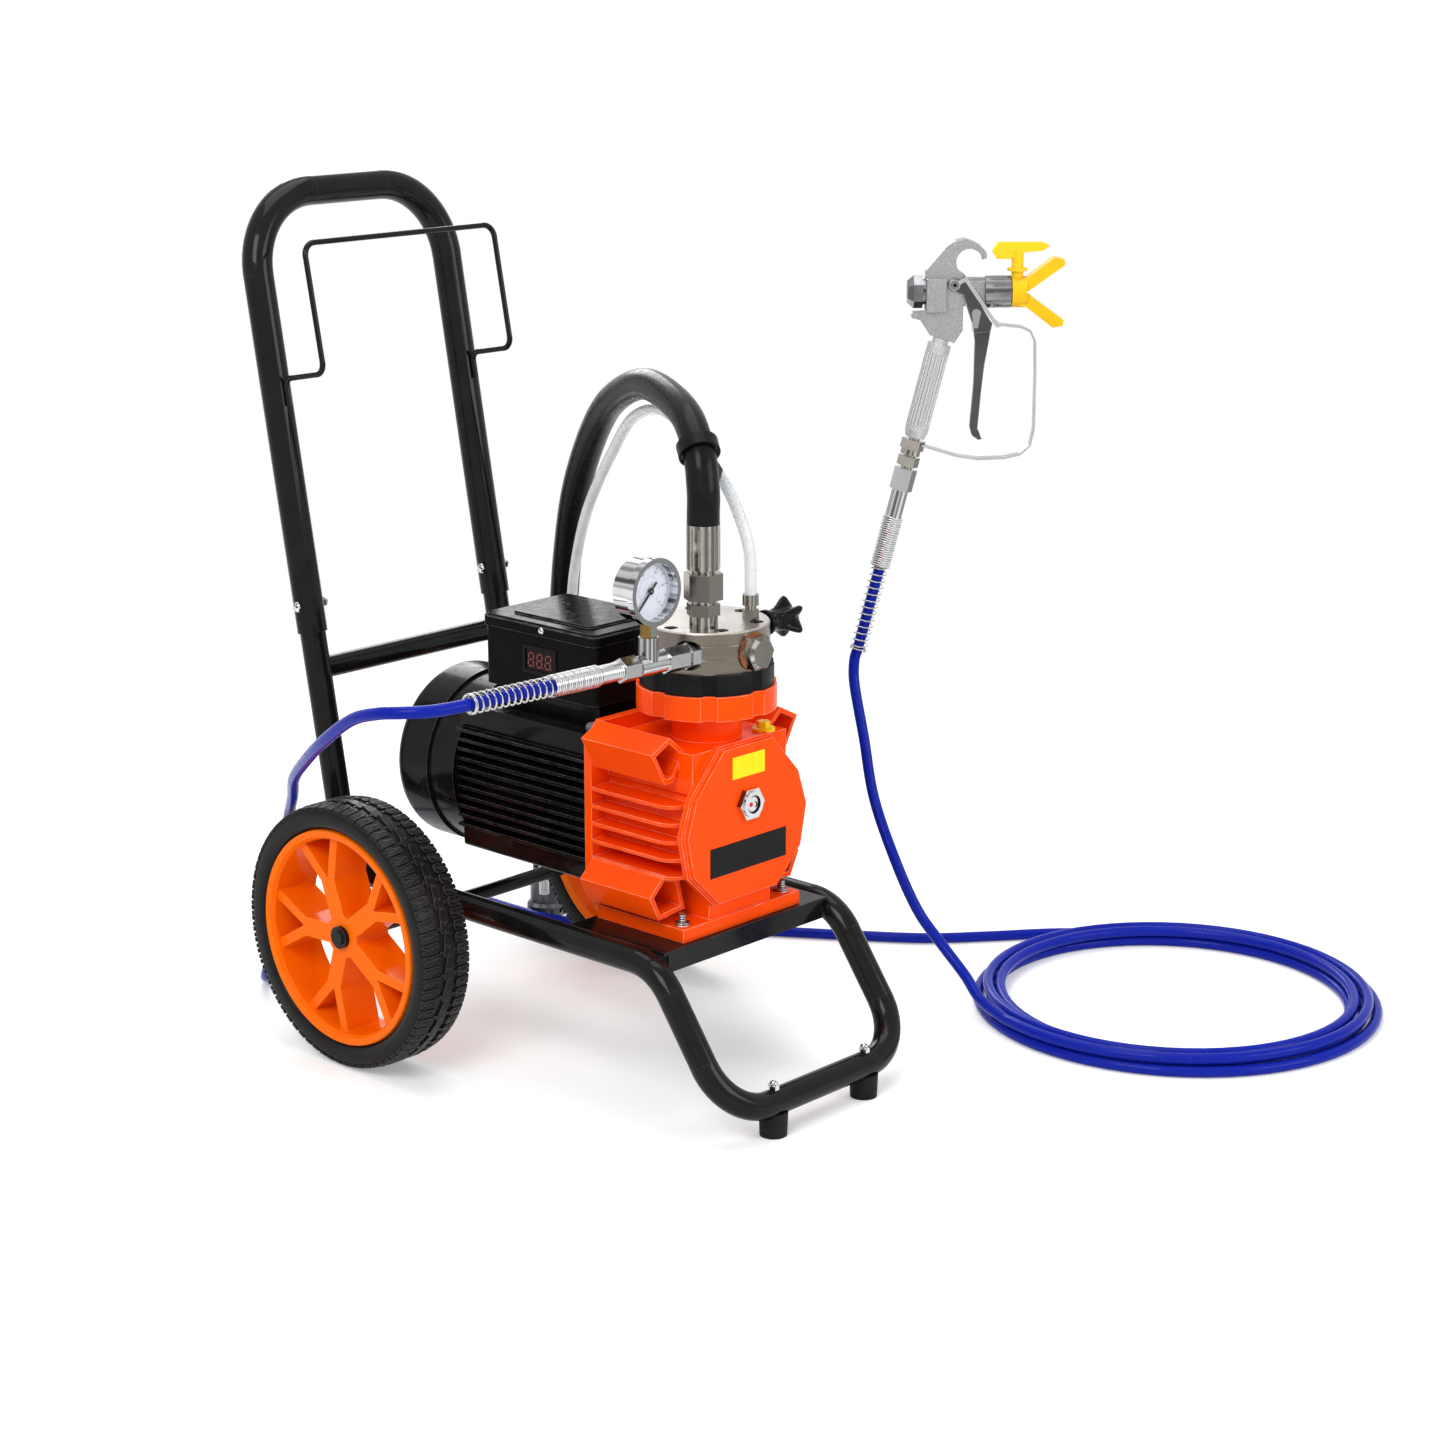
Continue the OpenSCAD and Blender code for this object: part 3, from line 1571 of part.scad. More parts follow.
// Coil: it spirals in on the floor, climbs a layer in half a turn and spirals out again
function eased(s) = s * s * (3 - 2 * s);
function coil_radius(turn) =
  turn < lower_loops ? coil_r - loop_pitch * turn
  : turn < lower_loops + 0.5 ? coil_in_r
  : coil_in_r + loop_pitch * (turn - lower_loops - 0.5);
function coil_height(turn) =
  hose_z + layer_rise * eased(min(max((turn - lower_loops) / 0.5, 0), 1));
function coil_point(turn) = let (a = coil_start - 360 * turn, r = coil_radius(turn))
  [coil_at[0] + r * cos(a), coil_at[1] + r * sin(a), coil_height(turn)];
function coil_heading(turn) = let (a = coil_start - 360 * turn) [sin(a), -cos(a), 0];
rings_per_loop = 24;
coil_rings = round(coil_turns * rings_per_loop);
coil_path = [for (i = [0:coil_rings]) coil_point(coil_turns * i / coil_rings)];
echo(least_gap_hose_coil_mm = least_gap(coil_path, round(rings_per_loop / 2), hose_r));
module hose_coil() {
  color("#1626c8")
    swept_tube(coil_path, hose_r, 6);
}

// ---------- Spray gun ----------
module on_gun() {
  translate(gun_at)
    rotate([0, 0, gun_heading])
      children();
}
// Flat gun shape, drawn in X and Z, of thickness t about the gun's middle plane
module gun_plate(t) {
  rotate([90, 0, 0])
    translate([0, 0, -t / 2])
      linear_extrude(t)
        children();
}
// Shape with its +Z along the barrel, starting at x
module on_bore(x) {
  translate([x, 0, bore_z])
    rotate([0, 90, 0])
      children();
}
hook_at = [56, 193];
hook_r = 14.5;
body_back = 9;
body_front = 50;
barrel_front = 74;
needle_r = 2.5;
thread_r = 8.5;
module gun_body() {
  color("#a9acae")
    on_gun()
      difference() {
        union() {
          gun_plate(gun_t)
            difference() {
              polygon([
                [body_back, 139], [body_back, 184], [32, 211], [41, 216], [50, 218], [59, 215],
                [67, 211], [74, 204], [75, 198], [69, 195], hook_at,
                [50, 177], [body_front, 144], [body_front, 119], [41, 105], [14, 114], [3, 131]
              ]);
              translate(hook_at)
                circle(hook_r);
            }
          // Thumb rest
          gun_plate(gun_t - 4)
            polygon([[body_back, 139], [-5, 138], [-7, 135], [-5, 132], [3, 130], [body_back, 128]]);
          on_bore(body_back)
            cylinder(h = barrel_front - body_back, r = 16);
        }
        on_bore(body_back - cut)
          cylinder(h = barrel_front - body_back + 2 * cut, r = thread_r);
        // Socket of the grip tube
        along([0, 0, 0], -gun_line)
          cylinder(h = grip_len + 14, r = grip_d / 2 - 4 + fit_gap);
        along([0, 0, 0], -gun_line)
          cylinder(h = grip_len, r = grip_d / 2 + 2);
        // Flats that the trigger's two cheeks swing beside, and the hole of their pivot
        for (side = [-1, 1])
          translate([32, side > 0 ? gun_t / 2 : -gun_t / 2 - 20, 100])
            cube([barrel_front - 32 + cut, 20, 80]);
        gun_pin(pin_r + fit_gap, 2 * gun_t);
      }
}
pin_r = 2.5;
// Pin across the gun at the trigger's pivot
module gun_pin(r, length) {
  rotate([90, 0, 0])
    translate([pivot_at[0], pivot_at[1], -length / 2])
      cylinder(h = length, r = r);
}
module gun_grip() {
  color("#c6c8c9")
    on_gun()
      along([0, 0, 0], -gun_line)
        difference() {
          union() {
            cylinder(h = 8, r1 = grip_d / 2 - 2, r2 = grip_d / 2);
            translate([0, 0, 8])
              cylinder(h = grip_len - 8, r = grip_d / 2);
            translate([0, 0, grip_len])
              cylinder(h = 13, r = grip_d / 2 - 4);
          }
          for (i = [0:17])
            rotate([0, 0, 20 * i])
              translate([grip_d / 2 + 0.6, 0, 14])
                cylinder(h = grip_len - 24, r = 1.4, $fn = 24);
          translate([0, 0, 6])
            cylinder(h = grip_len + 10, r = grip_d / 2 - 6);
        }
  // Hexagon nipples below the grip
  color("#b0aca4")
    on_gun()
      along([0, 0, 0], gun_line) {
        cylinder(h = swivel_start, r = 6.5);
        translate([0, 0, 3])
          hex_bar(11, 23);
        translate([0, 0, 14])
          cylinder(h = 6, r = 11);
        translate([0, 0, 22])
          hex_bar(11, 21);
      }
}

gun_cheek = 3;
cheek_y = gun_t / 2 + face_gap;
cheek_out = cheek_y + gun_cheek;
lock_pin_r = 2;
trigger_outline = [
  [61, 126], [64, 106], [63.5, 60], [60, 12], [63, 2], [70, -3], [74, -2], [69, 10],
  [72, 50], [75, 80], [80, 110], [82, 125]
];
module gun_trigger() {
  color("#2b2d2e")
    on_gun()
      difference() {
        union() {
          for (side = [-1, 1])
            translate([0, side * (cheek_y + gun_cheek / 2), 0])
              gun_plate(gun_cheek) {
                polygon([[34, 165], [40, 175], [52, 175], [82, 126], [61, 126], [50, 158]]);
                translate(pivot_at)
                  circle(7);
              }
          gun_plate(2 * cheek_out)
            polygon([[62, 116], [80, 118], [82, 127], [61, 127]]);
          gun_plate(trigger_t)
            polygon(trigger_outline);
        }
        gun_pin(pin_r + run_gap, 2 * gun_t);
        // Hole of the lock's pin
        rotate([90, 0, 0])
          translate([lock_at[0], lock_at[1], 0])
            cylinder(h = 2 * gun_t, r = lock_pin_r + run_gap);
      }
}

// Strap of thickness t along flat points
module strap_line(points, t) {
  for (i = [0:len(points) - 2]) {
    d = points[i + 1] - points[i];
    translate(points[i])
      rotate(atan2(d[1], d[0]))
        translate([0, -t / 2])
          square([norm(d), t]);
    translate(points[i])
      circle(t / 2 + run_gap / 2);
  }
}
arm_t = 1.4;
arm_out = cheek_out + face_gap + arm_t;
module trigger_guard() {
  strap = [
    [87, 125], [114, 122], [125, 117], [130, 106], [131, 70], [131, 10], [127, -9], [116, -19],
    [98, -23], [70, -24], [48, -21], [16, -11.5]
  ];
  color("#b9bbbd")
    on_gun() {
      gun_plate(strap_w)
        strap_line(strap, 2.4);
      // Fork whose arms reach up outside the trigger to the pivot pin
      for (side = [-1, 1])
        translate([0, side * (arm_out - arm_t / 2), 0])
          gun_plate(arm_t) {
            strap_line([pivot_at, [52, 175], [87, 125], [89, 124.8]], 4);
            translate(pivot_at)
              circle(6);
          }
      gun_plate(2 * arm_out)
        strap_line([[86, 126], [89, 124.8], [91, 124.5]], 2.4);
      gun_pin(pin_r, 2 * arm_out + 2);
    }
}

module trigger_lock() {
  color("#8e9092")
    on_gun()
      rotate([90, 0, 0]) {
        translate([0, 0, cheek_out + face_gap])
          linear_extrude(2) {
            translate(lock_at)
              circle(5);
            polygon([
              [lock_at[0] - 4.5, lock_at[1] - 2], [lock_at[0] - 2, lock_at[1] - 16],
              [lock_at[0] + 2, lock_at[1] - 16], [lock_at[0] + 4.5, lock_at[1] - 2]
            ]);
          }
        // Pin into the trigger's cheek
        translate([lock_at[0], lock_at[1], cheek_y + 0.2])
          cylinder(h = gun_cheek + 1, r = lock_pin_r);
      }
}

needle_seat = 70;
module gun_needle() {
  color("#c8c8c8")
    on_gun()
      on_bore(body_back + 6)
        cylinder(h = needle_seat - body_back - 6, r = needle_r);
}

module gun_plug() {
  color("#9c9ea0")
    on_gun() {
      on_bore(-11) {
        cylinder(h = 7, r1 = 12, r2 = 18, $fn = 6);
        translate([0, 0, 7])
          cylinder(h = 10, r = 18, $fn = 6);
        translate([0, 0, 17])
          cylinder(h = 3, r = 14);
      }
      // Hollow plug in the bore, which guides the needle
      on_bore(body_back)
        difference() {
          cylinder(h = 22, r = thread_r - fit_gap);
          translate([0, 0, 3])
            cylinder(h = 30, r = needle_r + run_gap);
        }
    }
}

nut_len = 28;
module retaining_nut() {
  color("#a8aaac")
    on_gun()
      on_bore(barrel_front)
        difference() {
          union() {
            cylinder(h = nut_len, r = nut_d / 2);
            translate([0, 0, -16])
              cylinder(h = 16, r = thread_r - fit_gap);
          }
          for (i = [0:11])
            rotate([0, 0, 30 * i])
              translate([nut_d / 2 + 1, 0, 8])
                cylinder(h = nut_len, r = 2, $fn = 24);
          translate([0, 0, -16 - cut])
            cylinder(h = nut_len, r = needle_r + 1);
          // Seat orifice
          cylinder(h = nut_len, r = 1.5);
          translate([0, 0, 12])
            cylinder(h = nut_len, r = 12);
        }
}

guard_back = 103;
guard_front = 119;
tip_x = 109;
tip_r = 6.5;
module tip_guard() {
  color("#f0a810")
    on_gun()
      difference() {
        union() {
          on_bore(guard_back - 15)
            cylinder(h = 15, r = 12 - run_gap);
          on_bore(guard_back)
            cylinder(h = guard_front - guard_back, r = 17);
          for (side = [-1, 1])
            gun_plate(wing_t)
              polygon([
                [guard_back + 8, bore_z + side * 14], [guard_front, bore_z + side * 16],
                [148, bore_z + side * 38], [159, bore_z + side * 36],
                [160, bore_z + side * 30], [guard_front + 2, bore_z + side * 2],
                [guard_back + 8, bore_z + side * 2]
              ]);
        }
        on_bore(guard_back - 15 - cut)
          cylinder(h = guard_front + 10, r = 4);
        // Cross hole that holds the tip
        translate([tip_x, 0, bore_z - 14])
          cylinder(h = 60, r = tip_r + run_gap);
      }
}

module spray_tip() {
  color("#f4e020")
    on_gun() {
      translate([tip_x, 0, bore_z - 13])
        difference() {
          cylinder(h = 58, r = tip_r);
          translate([-20, 0, 13])
            rotate([0, 90, 0])
              cylinder(h = 40, r = 1.5, $fn = 24);
        }
      translate([tip_x, 0, bore_z + 23])
        cylinder(h = 3, r = 11);
      // Arrow-shaped handle
      gun_plate(9)
        polygon([
          [81, 205], [87, 214], [136, 214], [144, 210], [136, 205], [116, 203], [102, 196], [86, 196]
        ]);
    }
}

frame();
deck_plate();
axle();
handle();
frame_bolts();
hose_hanger();
rubber_feet();
rim_left();
rim_right();
tyre_left();
tyre_right();
motor_housing();
motor_end_shield();
fan_cowl();
cooling_fan();
stator();
rotor_shaft();
shaft_bearings();
eccentric();
control_box();
control_box_lid();
display_module();
power_switch();
crankcase();
crankcase_cover();
sight_glass();
oil_cap();
base_bolts();
piston();
piston_spring();
diaphragm();
clamp_ring();
pump_head();
head_screws();
valve_plug();
head_fittings();
outlet_tee();
gauge_case();
gauge_needle();
gauge_lens();
pressure_knob();
suction_hose();
suction_strainer();
hose_clips();
return_tube();
hose_ferrules();
spring_guards();
hose_run();
hose_coil();
hose_riser();
gun_body();
gun_grip();
gun_trigger();
trigger_guard();
trigger_lock();
gun_needle();
retaining_nut();
tip_guard();
spray_tip();
gun_plug();
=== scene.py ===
import math

import bmesh
import bpy
from mathutils import Matrix, Vector


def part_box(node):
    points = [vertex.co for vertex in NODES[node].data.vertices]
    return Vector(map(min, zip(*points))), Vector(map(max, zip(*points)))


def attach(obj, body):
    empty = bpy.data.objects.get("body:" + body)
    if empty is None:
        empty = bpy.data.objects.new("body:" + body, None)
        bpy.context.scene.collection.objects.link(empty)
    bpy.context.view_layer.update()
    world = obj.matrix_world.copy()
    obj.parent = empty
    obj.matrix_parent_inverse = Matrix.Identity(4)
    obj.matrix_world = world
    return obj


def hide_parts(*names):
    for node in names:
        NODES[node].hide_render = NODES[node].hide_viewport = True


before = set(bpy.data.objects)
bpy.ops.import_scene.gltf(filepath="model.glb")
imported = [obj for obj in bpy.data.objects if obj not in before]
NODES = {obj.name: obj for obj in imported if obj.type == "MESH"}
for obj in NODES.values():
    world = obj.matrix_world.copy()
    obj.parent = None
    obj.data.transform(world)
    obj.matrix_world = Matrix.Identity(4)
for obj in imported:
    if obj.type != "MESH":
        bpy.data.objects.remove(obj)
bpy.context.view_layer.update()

scene = bpy.context.scene
MM = 0.001
PUMP_AXIS = (0, -0.304, 0.47)
SHAFT_Z = 291


def mm(*p):
    return Vector(p) * MM


# ---------------------------------------------------------------- camera
AZIMUTH = -47.30
ELEVATION = 15.06
camera_data = bpy.data.cameras.new("camera")
camera_data.sensor_width = 36
camera_data.lens = 75.49
camera_data.clip_end = 50
camera = bpy.data.objects.new("camera", camera_data)
scene.collection.objects.link(camera)
camera.location = (-2.1810, -2.3386, 1.1874)
camera.rotation_euler = (math.radians(90 - ELEVATION), 0, math.radians(AZIMUTH))
scene.camera = camera


# ---------------------------------------------------------------- materials
class Paint:
    """A node material with a few short calls for its nodes."""

    def __init__(self, name, color=(0.5, 0.5, 0.5), rough=0.4, metal=0.0, **sockets):
        self.m = bpy.data.materials.new(name)
        self.m.use_nodes = True
        self.t = self.m.node_tree
        self.b = next(n for n in self.t.nodes if n.type == "BSDF_PRINCIPLED")
        self.b.inputs["Base Color"].default_value = (*color, 1)
        self.b.inputs["Roughness"].default_value = rough
        self.b.inputs["Metallic"].default_value = metal
        for k, v in sockets.items():
            self.b.inputs[k.replace("_", " ")].default_value = v
        self.co = self.new("ShaderNodeTexCoord").outputs["Object"]
        self.m.diffuse_color = (*color, 1)

    def new(self, kind, **attrs):
        n = self.t.nodes.new(kind)
        for k, v in attrs.items():
            setattr(n, k, v)
        return n

    def put(self, socket, value):
        if hasattr(value, "is_output"):
            self.t.links.new(value, socket)
        else:
            socket.default_value = value

    def math(self, op, a, b=0.0, clamp=False):
        n = self.new("ShaderNodeMath", operation=op, use_clamp=clamp)
        self.put(n.inputs[0], a)
        self.put(n.inputs[1], b)
        return n.outputs[0]

    def scaled(self, sx, sy, sz):
        n = self.new("ShaderNodeMapping")
        self.put(n.inputs["Vector"], self.co)
        n.inputs["Scale"].default_value = (sx, sy, sz)
        return n.outputs[0]

    def moved(self, x, y, z):
        n = self.new("ShaderNodeMapping")
        self.put(n.inputs["Vector"], self.co)
        n.inputs["Location"].default_value = (-x, -y, -z)
        return n.outputs[0]

    def noise(self, scale, detail=3.0, rough=0.5, vector=None):
        n = self.new("ShaderNodeTexNoise")
        self.put(n.inputs["Vector"], vector or self.co)
        n.inputs["Scale"].default_value = scale
        n.inputs["Detail"].default_value = detail
        n.inputs["Roughness"].default_value = rough
        return n.outputs["Fac"]

    def between(self, fac, low, high, out_low=0.0, out_high=1.0):
        n = self.new("ShaderNodeMapRange")
        self.put(n.inputs["Value"], fac)
        for i, v in zip((1, 2, 3, 4), (low, high, out_low, out_high)):
            n.inputs[i].default_value = v
        return n.outputs[0]

    def mix(self, fac, a, b):
        n = self.new("ShaderNodeMix", data_type="RGBA")
        self.put(n.inputs[0], fac)
        for socket, value in ((n.inputs[6], a), (n.inputs[7], b)):
            if hasattr(value, "is_output"):
                self.t.links.new(value, socket)
            else:
                socket.default_value = (*value[:3], 1)
        return n.outputs[2]

    def xyz(self, vector):
        n = self.new("ShaderNodeSeparateXYZ")
        self.put(n.inputs[0], vector)
        return n.outputs

    def vec(self, x, y, z):
        n = self.new("ShaderNodeCombineXYZ")
        for i, v in enumerate((x, y, z)):
            self.put(n.inputs[i], v)
        return n.outputs[0]

    def drift(self, color, tint, scale, detail):
        """A colour that wanders between a darker and a lighter tone of itself."""
        cloudy = self.between(self.noise(scale, detail), 0.3, 0.7)
        return self.mix(cloudy, tuple(c * (1 - tint) for c in color), tuple(min(c * (1 + tint), 1) for c in color))

    def along(self, vector, direction):
        """How far a vector reaches in a direction."""
        n = self.new("ShaderNodeVectorMath", operation="DOT_PRODUCT")
        self.put(n.inputs[0], vector)
        n.inputs[1].default_value = tuple(direction)
        return n.outputs["Value"]

    def edges(self, radius):
        """A normal that rounds the model's sharp edges off."""
        n = self.new("ShaderNodeBevel", samples=4)
        n.inputs["Radius"].default_value = radius * MM
        return n.outputs[0]

    def edge_glint(self, radius, gain=4.0):
        """A mask for painted edge highlights: 1 along sharp edges of the model, 0 on flat faces."""
        n = self.new("ShaderNodeVectorMath", operation="DOT_PRODUCT")
        self.put(n.inputs[0], self.edges(radius))
        self.put(n.inputs[1], self.new("ShaderNodeNewGeometry").outputs["Normal"])
        return self.math("MULTIPLY", self.math("SUBTRACT", 1.0, n.outputs["Value"]), gain, clamp=True)

    def facing(self, scale=1.7):
        """A painted reflection: a tone that changes with the way a face looks on the object itself, as reflections do
        on polished metal.
        """
        n = self.new("ShaderNodeTexCoord")
        return self.noise(scale, 1.0, 0.5, n.outputs["Normal"])

    def bump(self, height, strength=0.2, distance=0.001, under=None):
        n = self.new("ShaderNodeBump")
        self.put(n.inputs["Height"], height)
        n.inputs["Strength"].default_value = strength
        n.inputs["Distance"].default_value = distance
        if under is not None:
            self.put(n.inputs["Normal"], under)
        return n.outputs["Normal"]

    def color(self, value):
        self.put(self.b.inputs["Base Color"], value)
        return self

    def rough(self, value):
        self.put(self.b.inputs["Roughness"], value)
        return self

    def normal(self, value):
        self.put(self.b.inputs["Normal"], value)
        return self


def coat_paint(name, color, rough, grain=900, grain_h=0.1, coat=0.0, tint=0.15, wide=35, metal=0.0, rough_spread=0.08,
               shine=0.10, edge=0.0, glint=None):
    """Paint or moulded plastic: a base colour that drifts a little, an uneven gloss, a fine skin, and with glint a
    painted highlight along sharp edges.
    """
    lacquer = {"Coat_Weight": coat, "Coat_Roughness": 0.06} if coat else {}
    p = Paint(name, color, rough, metal, Specular_IOR_Level=shine, **lacquer)
    shade = p.drift(color, tint, wide, 2)
    if glint:
        # Painted highlight: the glint colour along sharp edges, in patches.
        patchy = p.between(p.noise(70, 3), 0.35, 0.6, 0.35, 1.0)
        shade = p.mix(p.math("MULTIPLY", p.edge_glint(edge), patchy), shade, glint)
    p.color(shade)
    p.rough(p.between(p.noise(120, 4), 0.3, 0.7, max(rough - rough_spread, 0.03), rough + rough_spread))
    p.normal(p.bump(p.noise(grain, 2), grain_h, 0.0006, p.edges(edge) if edge else None))
    return p


def metal_paint(name, color, rough, lines=(1, 1, 1), scale=400, spread=0.12, bump=0.08, tint=0.12, reflection_depth=0.45,
                edge=0.4, marks=1.7):
    """Bare metal: fine lines along one direction, uneven gloss, and a painted reflection: faces that differ in tone.
    """
    p = Paint(name, color, rough, 1.0)
    fine = p.noise(scale, 4, 0.6, p.scaled(*lines))
    shade = p.drift(color, tint, 60, 3)
    # Painted reflection: faces turned some ways darker by reflection_depth, in patches sized by marks.
    p.color(p.mix(p.between(p.facing(marks), 0.42, 0.56), tuple(c * reflection_depth for c in color), shade))
    p.rough(p.between(fine, 0.3, 0.7, max(rough - spread, 0.03), rough + spread))
    p.normal(p.bump(fine, bump, 0.0004, p.edges(edge) if edge else None))
    return p


def turned_metal(name, color, rough, centre, axis, spread=0.1, bump=0.12, tint=0.1):
    """Metal turned on a lathe: rings about a Z or Y axis through centre."""
    p = Paint(name, color, rough, 1.0)
    x, y, z = p.xyz(p.moved(*centre))
    across, along = (y, z) if axis == "Z" else (z, y)
    radius = p.math("SQRT", p.math("ADD", p.math("MULTIPLY", x, x), p.math("MULTIPLY", across, across)))
    fine = p.noise(1.0, 3, 0.7, p.vec(p.math("MULTIPLY", radius, 1500), p.math("MULTIPLY", along, 1100), 0.0))
    p.color(p.drift(color, tint, 30, 3))
    p.rough(p.between(fine, 0.3, 0.7, max(rough - spread, 0.03), rough + spread))
    p.normal(p.bump(fine, bump, 0.0003, p.edges(0.5)))
    return p


black_frame = coat_paint("black_powder_coat", (0.0060, 0.0060, 0.0060), 0.20, grain=700, grain_h=0.06, coat=0.22,
                         tint=0.3, shine=0.05, edge=0.9, glint=(0.12, 0.12, 0.12))
motor_black = coat_paint("motor_black_cast", (0.0045, 0.0045, 0.0047), 0.24, grain=450, grain_h=0.18, coat=0.14,
                         tint=0.35, rough_spread=0.1, shine=0.06, edge=0.7, glint=(0.26, 0.26, 0.26))
box_black = coat_paint("box_black_moulded", (0.0050, 0.0050, 0.0050), 0.20, grain=1100, grain_h=0.08, tint=0.2,
                       coat=0.03, shine=0.02, edge=1.3, glint=(0.30, 0.30, 0.30))
ring_black = coat_paint("ring_black_cast", (0.0085, 0.0085, 0.0088), 0.42, grain=600, grain_h=0.3, tint=0.3,
                        shine=0.08, edge=0.9, glint=(0.05, 0.05, 0.05))
screw_black = coat_paint("black_oxide", (0.010, 0.010, 0.011), 0.32, grain=900, grain_h=0.1, metal=0.5)
knob_black = coat_paint("knob_gloss_black", (0.0045, 0.0045, 0.0045), 0.12, grain=500, grain_h=0.03, coat=0.05,
                        rough_spread=0.04, shine=0.06, edge=0.8, glint=(0.35, 0.35, 0.35))
orange = coat_paint("orange_cast_paint", (0.95, 0.073, 0.0012), 0.18, grain=380, grain_h=0.08, coat=0.05, tint=0.04,
                    wide=18, rough_spread=0.06, shine=0.05, edge=1.3, glint=(1.0, 0.66, 0.46))
rim_orange = coat_paint("rim_orange_moulded", (0.95, 0.150, 0.0010), 0.22, grain=240, grain_h=0.04, tint=0.04,
                        wide=14, rough_spread=0.06, shine=0.05, coat=0.03, edge=1.5, glint=(1.0, 0.36, 0.06))
cap_yellow = coat_paint("cap_yellow_moulded", (0.90, 0.70, 0.008), 0.3, grain=600, grain_h=0.06, tint=0.06, edge=0.4)
tip_yellow = coat_paint("tip_yellow_moulded", (0.90, 0.60, 0.022), 0.33, grain=500, grain_h=0.1, tint=0.06, edge=0.5)
guard_amber = coat_paint("guard_amber_moulded", (0.84, 0.50, 0.012), 0.30, grain=500, grain_h=0.1, tint=0.08,
                         edge=0.8, glint=(0.95, 0.75, 0.20))
switch_red = coat_paint("switch_red", (0.45, 0.006, 0.006), 0.2, grain=500, grain_h=0.05, tint=0.1)
foot_rubber = coat_paint("rubber_black", (0.012, 0.012, 0.012), 0.6, grain=500, grain_h=0.3, tint=0.25, edge=0.8)
clip_black = coat_paint("clip_black", (0.006, 0.006, 0.006), 0.3, grain=700, grain_h=0.1, tint=0.2, edge=0.5)
hose_black = coat_paint("suction_rubber", (0.0065, 0.0065, 0.0068), 0.28, grain=420, grain_h=0.04, tint=0.2,
                        coat=0.06, shine=0.08)
hose_blue = coat_paint("hose_blue_jacket", (0.005, 0.015, 0.30), 0.22, grain=300, grain_h=0.04, tint=0.07, wide=12,
                       coat=0.05, shine=0.06)
fan_black = coat_paint("fan_black", (0.02, 0.02, 0.02), 0.5, grain=500, grain_h=0.1)
trigger_grey = coat_paint("trigger_gunmetal", (0.080, 0.080, 0.083), 0.22, grain=500, grain_h=0.06, metal=0.85,
                          tint=0.2, edge=1.6, coat=0.2, glint=(0.5, 0.5, 0.5))
sticker_yellow = coat_paint("sticker_yellow", (0.90, 0.76, 0.010), 0.3, grain=800, grain_h=0.04, tint=0.03)
plate_black = coat_paint("plate_black", (0.007, 0.0065, 0.0065), 0.30, grain=800, grain_h=0.05, tint=0.15)
display_dark = coat_paint("display_window", (0.006, 0.003, 0.003), 0.12, grain=800, grain_h=0.02, tint=0.1,
                          rough_spread=0.03)
display_lit = coat_paint("display_segments", (0.24, 0.06, 0.06), 0.4, grain=800, grain_h=0.02, tint=0.08)
dial_white = coat_paint("dial_white", (0.72, 0.76, 0.84), 0.5, grain=800, grain_h=0.02, tint=0.02)
dial_blue = coat_paint("dial_marks", (0.03, 0.05, 0.16), 0.5, grain=800, grain_h=0.02, tint=0.2)
dot_red = coat_paint("dot_red", (0.75, 0.01, 0.012), 0.3, grain=800, grain_h=0.02)
grey_nub = coat_paint("grey_nub", (0.13, 0.135, 0.14), 0.4, grain=600, grain_h=0.1)

steel = metal_paint("machined_steel", (0.50, 0.50, 0.51), 0.28, (1, 1, 12))
chrome = metal_paint("chrome_plate", (0.78, 0.78, 0.79), 0.10, (1, 1, 1), 200, spread=0.04, bump=0.02, tint=0.05,
                     reflection_depth=0.10, marks=3.6)
# A darker copy of the chrome for the gauge case's front faces: a painted dark reflection.
chrome_dark = metal_paint("chrome_shadow", (0.26, 0.26, 0.265), 0.12, (1, 1, 1), 200, spread=0.04, bump=0.02,
                          tint=0.1, reflection_depth=0.4, marks=3.6)
strap_steel = metal_paint("strap_steel", (0.66, 0.66, 0.67), 0.26, (1, 1, 6), 500, spread=0.08, bump=0.06, reflection_depth=0.6)
head_nickel = turned_metal("head_nickel_turned", (0.20, 0.170, 0.142), 0.28, PUMP_AXIS, "Z", spread=0.08,
                           bump=0.10)
# A lighter copy of the head's metal for its upward faces: painted light from above.
head_top = turned_metal("head_top_turned", (0.46, 0.43, 0.40), 0.30, PUMP_AXIS, "Z", spread=0.08, bump=0.10)
shaft_steel = turned_metal("shaft_turned", (0.5, 0.5, 0.5), 0.25, (0, 0, 0.291), "Y")
nut_metal = metal_paint("gun_nut_plated", (0.34, 0.34, 0.35), 0.24, (4, 4, 1), 420, spread=0.12, bump=0.1, tint=0.25,
                        reflection_depth=0.3)
plug_metal = metal_paint("gun_plug_plated", (0.24, 0.24, 0.25), 0.17, (1, 1, 4), 300, spread=0.1, bump=0.06, tint=0.2,
                         reflection_depth=0.25, marks=3.0)
nickel_fit = metal_paint("fitting_nickel", (0.50, 0.47, 0.42), 0.18, (1, 1, 8), 300, spread=0.08, bump=0.05,
                         reflection_depth=0.28, marks=2.8)
brass = metal_paint("brass", (0.52, 0.31, 0.08), 0.24, (1, 1, 8), 300, spread=0.1, bump=0.08, tint=0.2)
copper = metal_paint("copper", (0.56, 0.20, 0.08), 0.3, (1, 1, 1), 300)
core_steel = metal_paint("core_laminations", (0.35, 0.36, 0.37), 0.4, (1, 20, 1), 300)
winding = metal_paint("winding_copper", (0.45, 0.18, 0.06), 0.4, (20, 1, 20), 200)
strainer_metal = metal_paint("strainer_dull", (0.17, 0.18, 0.19), 0.42, (1, 1, 6), 300, tint=0.3)


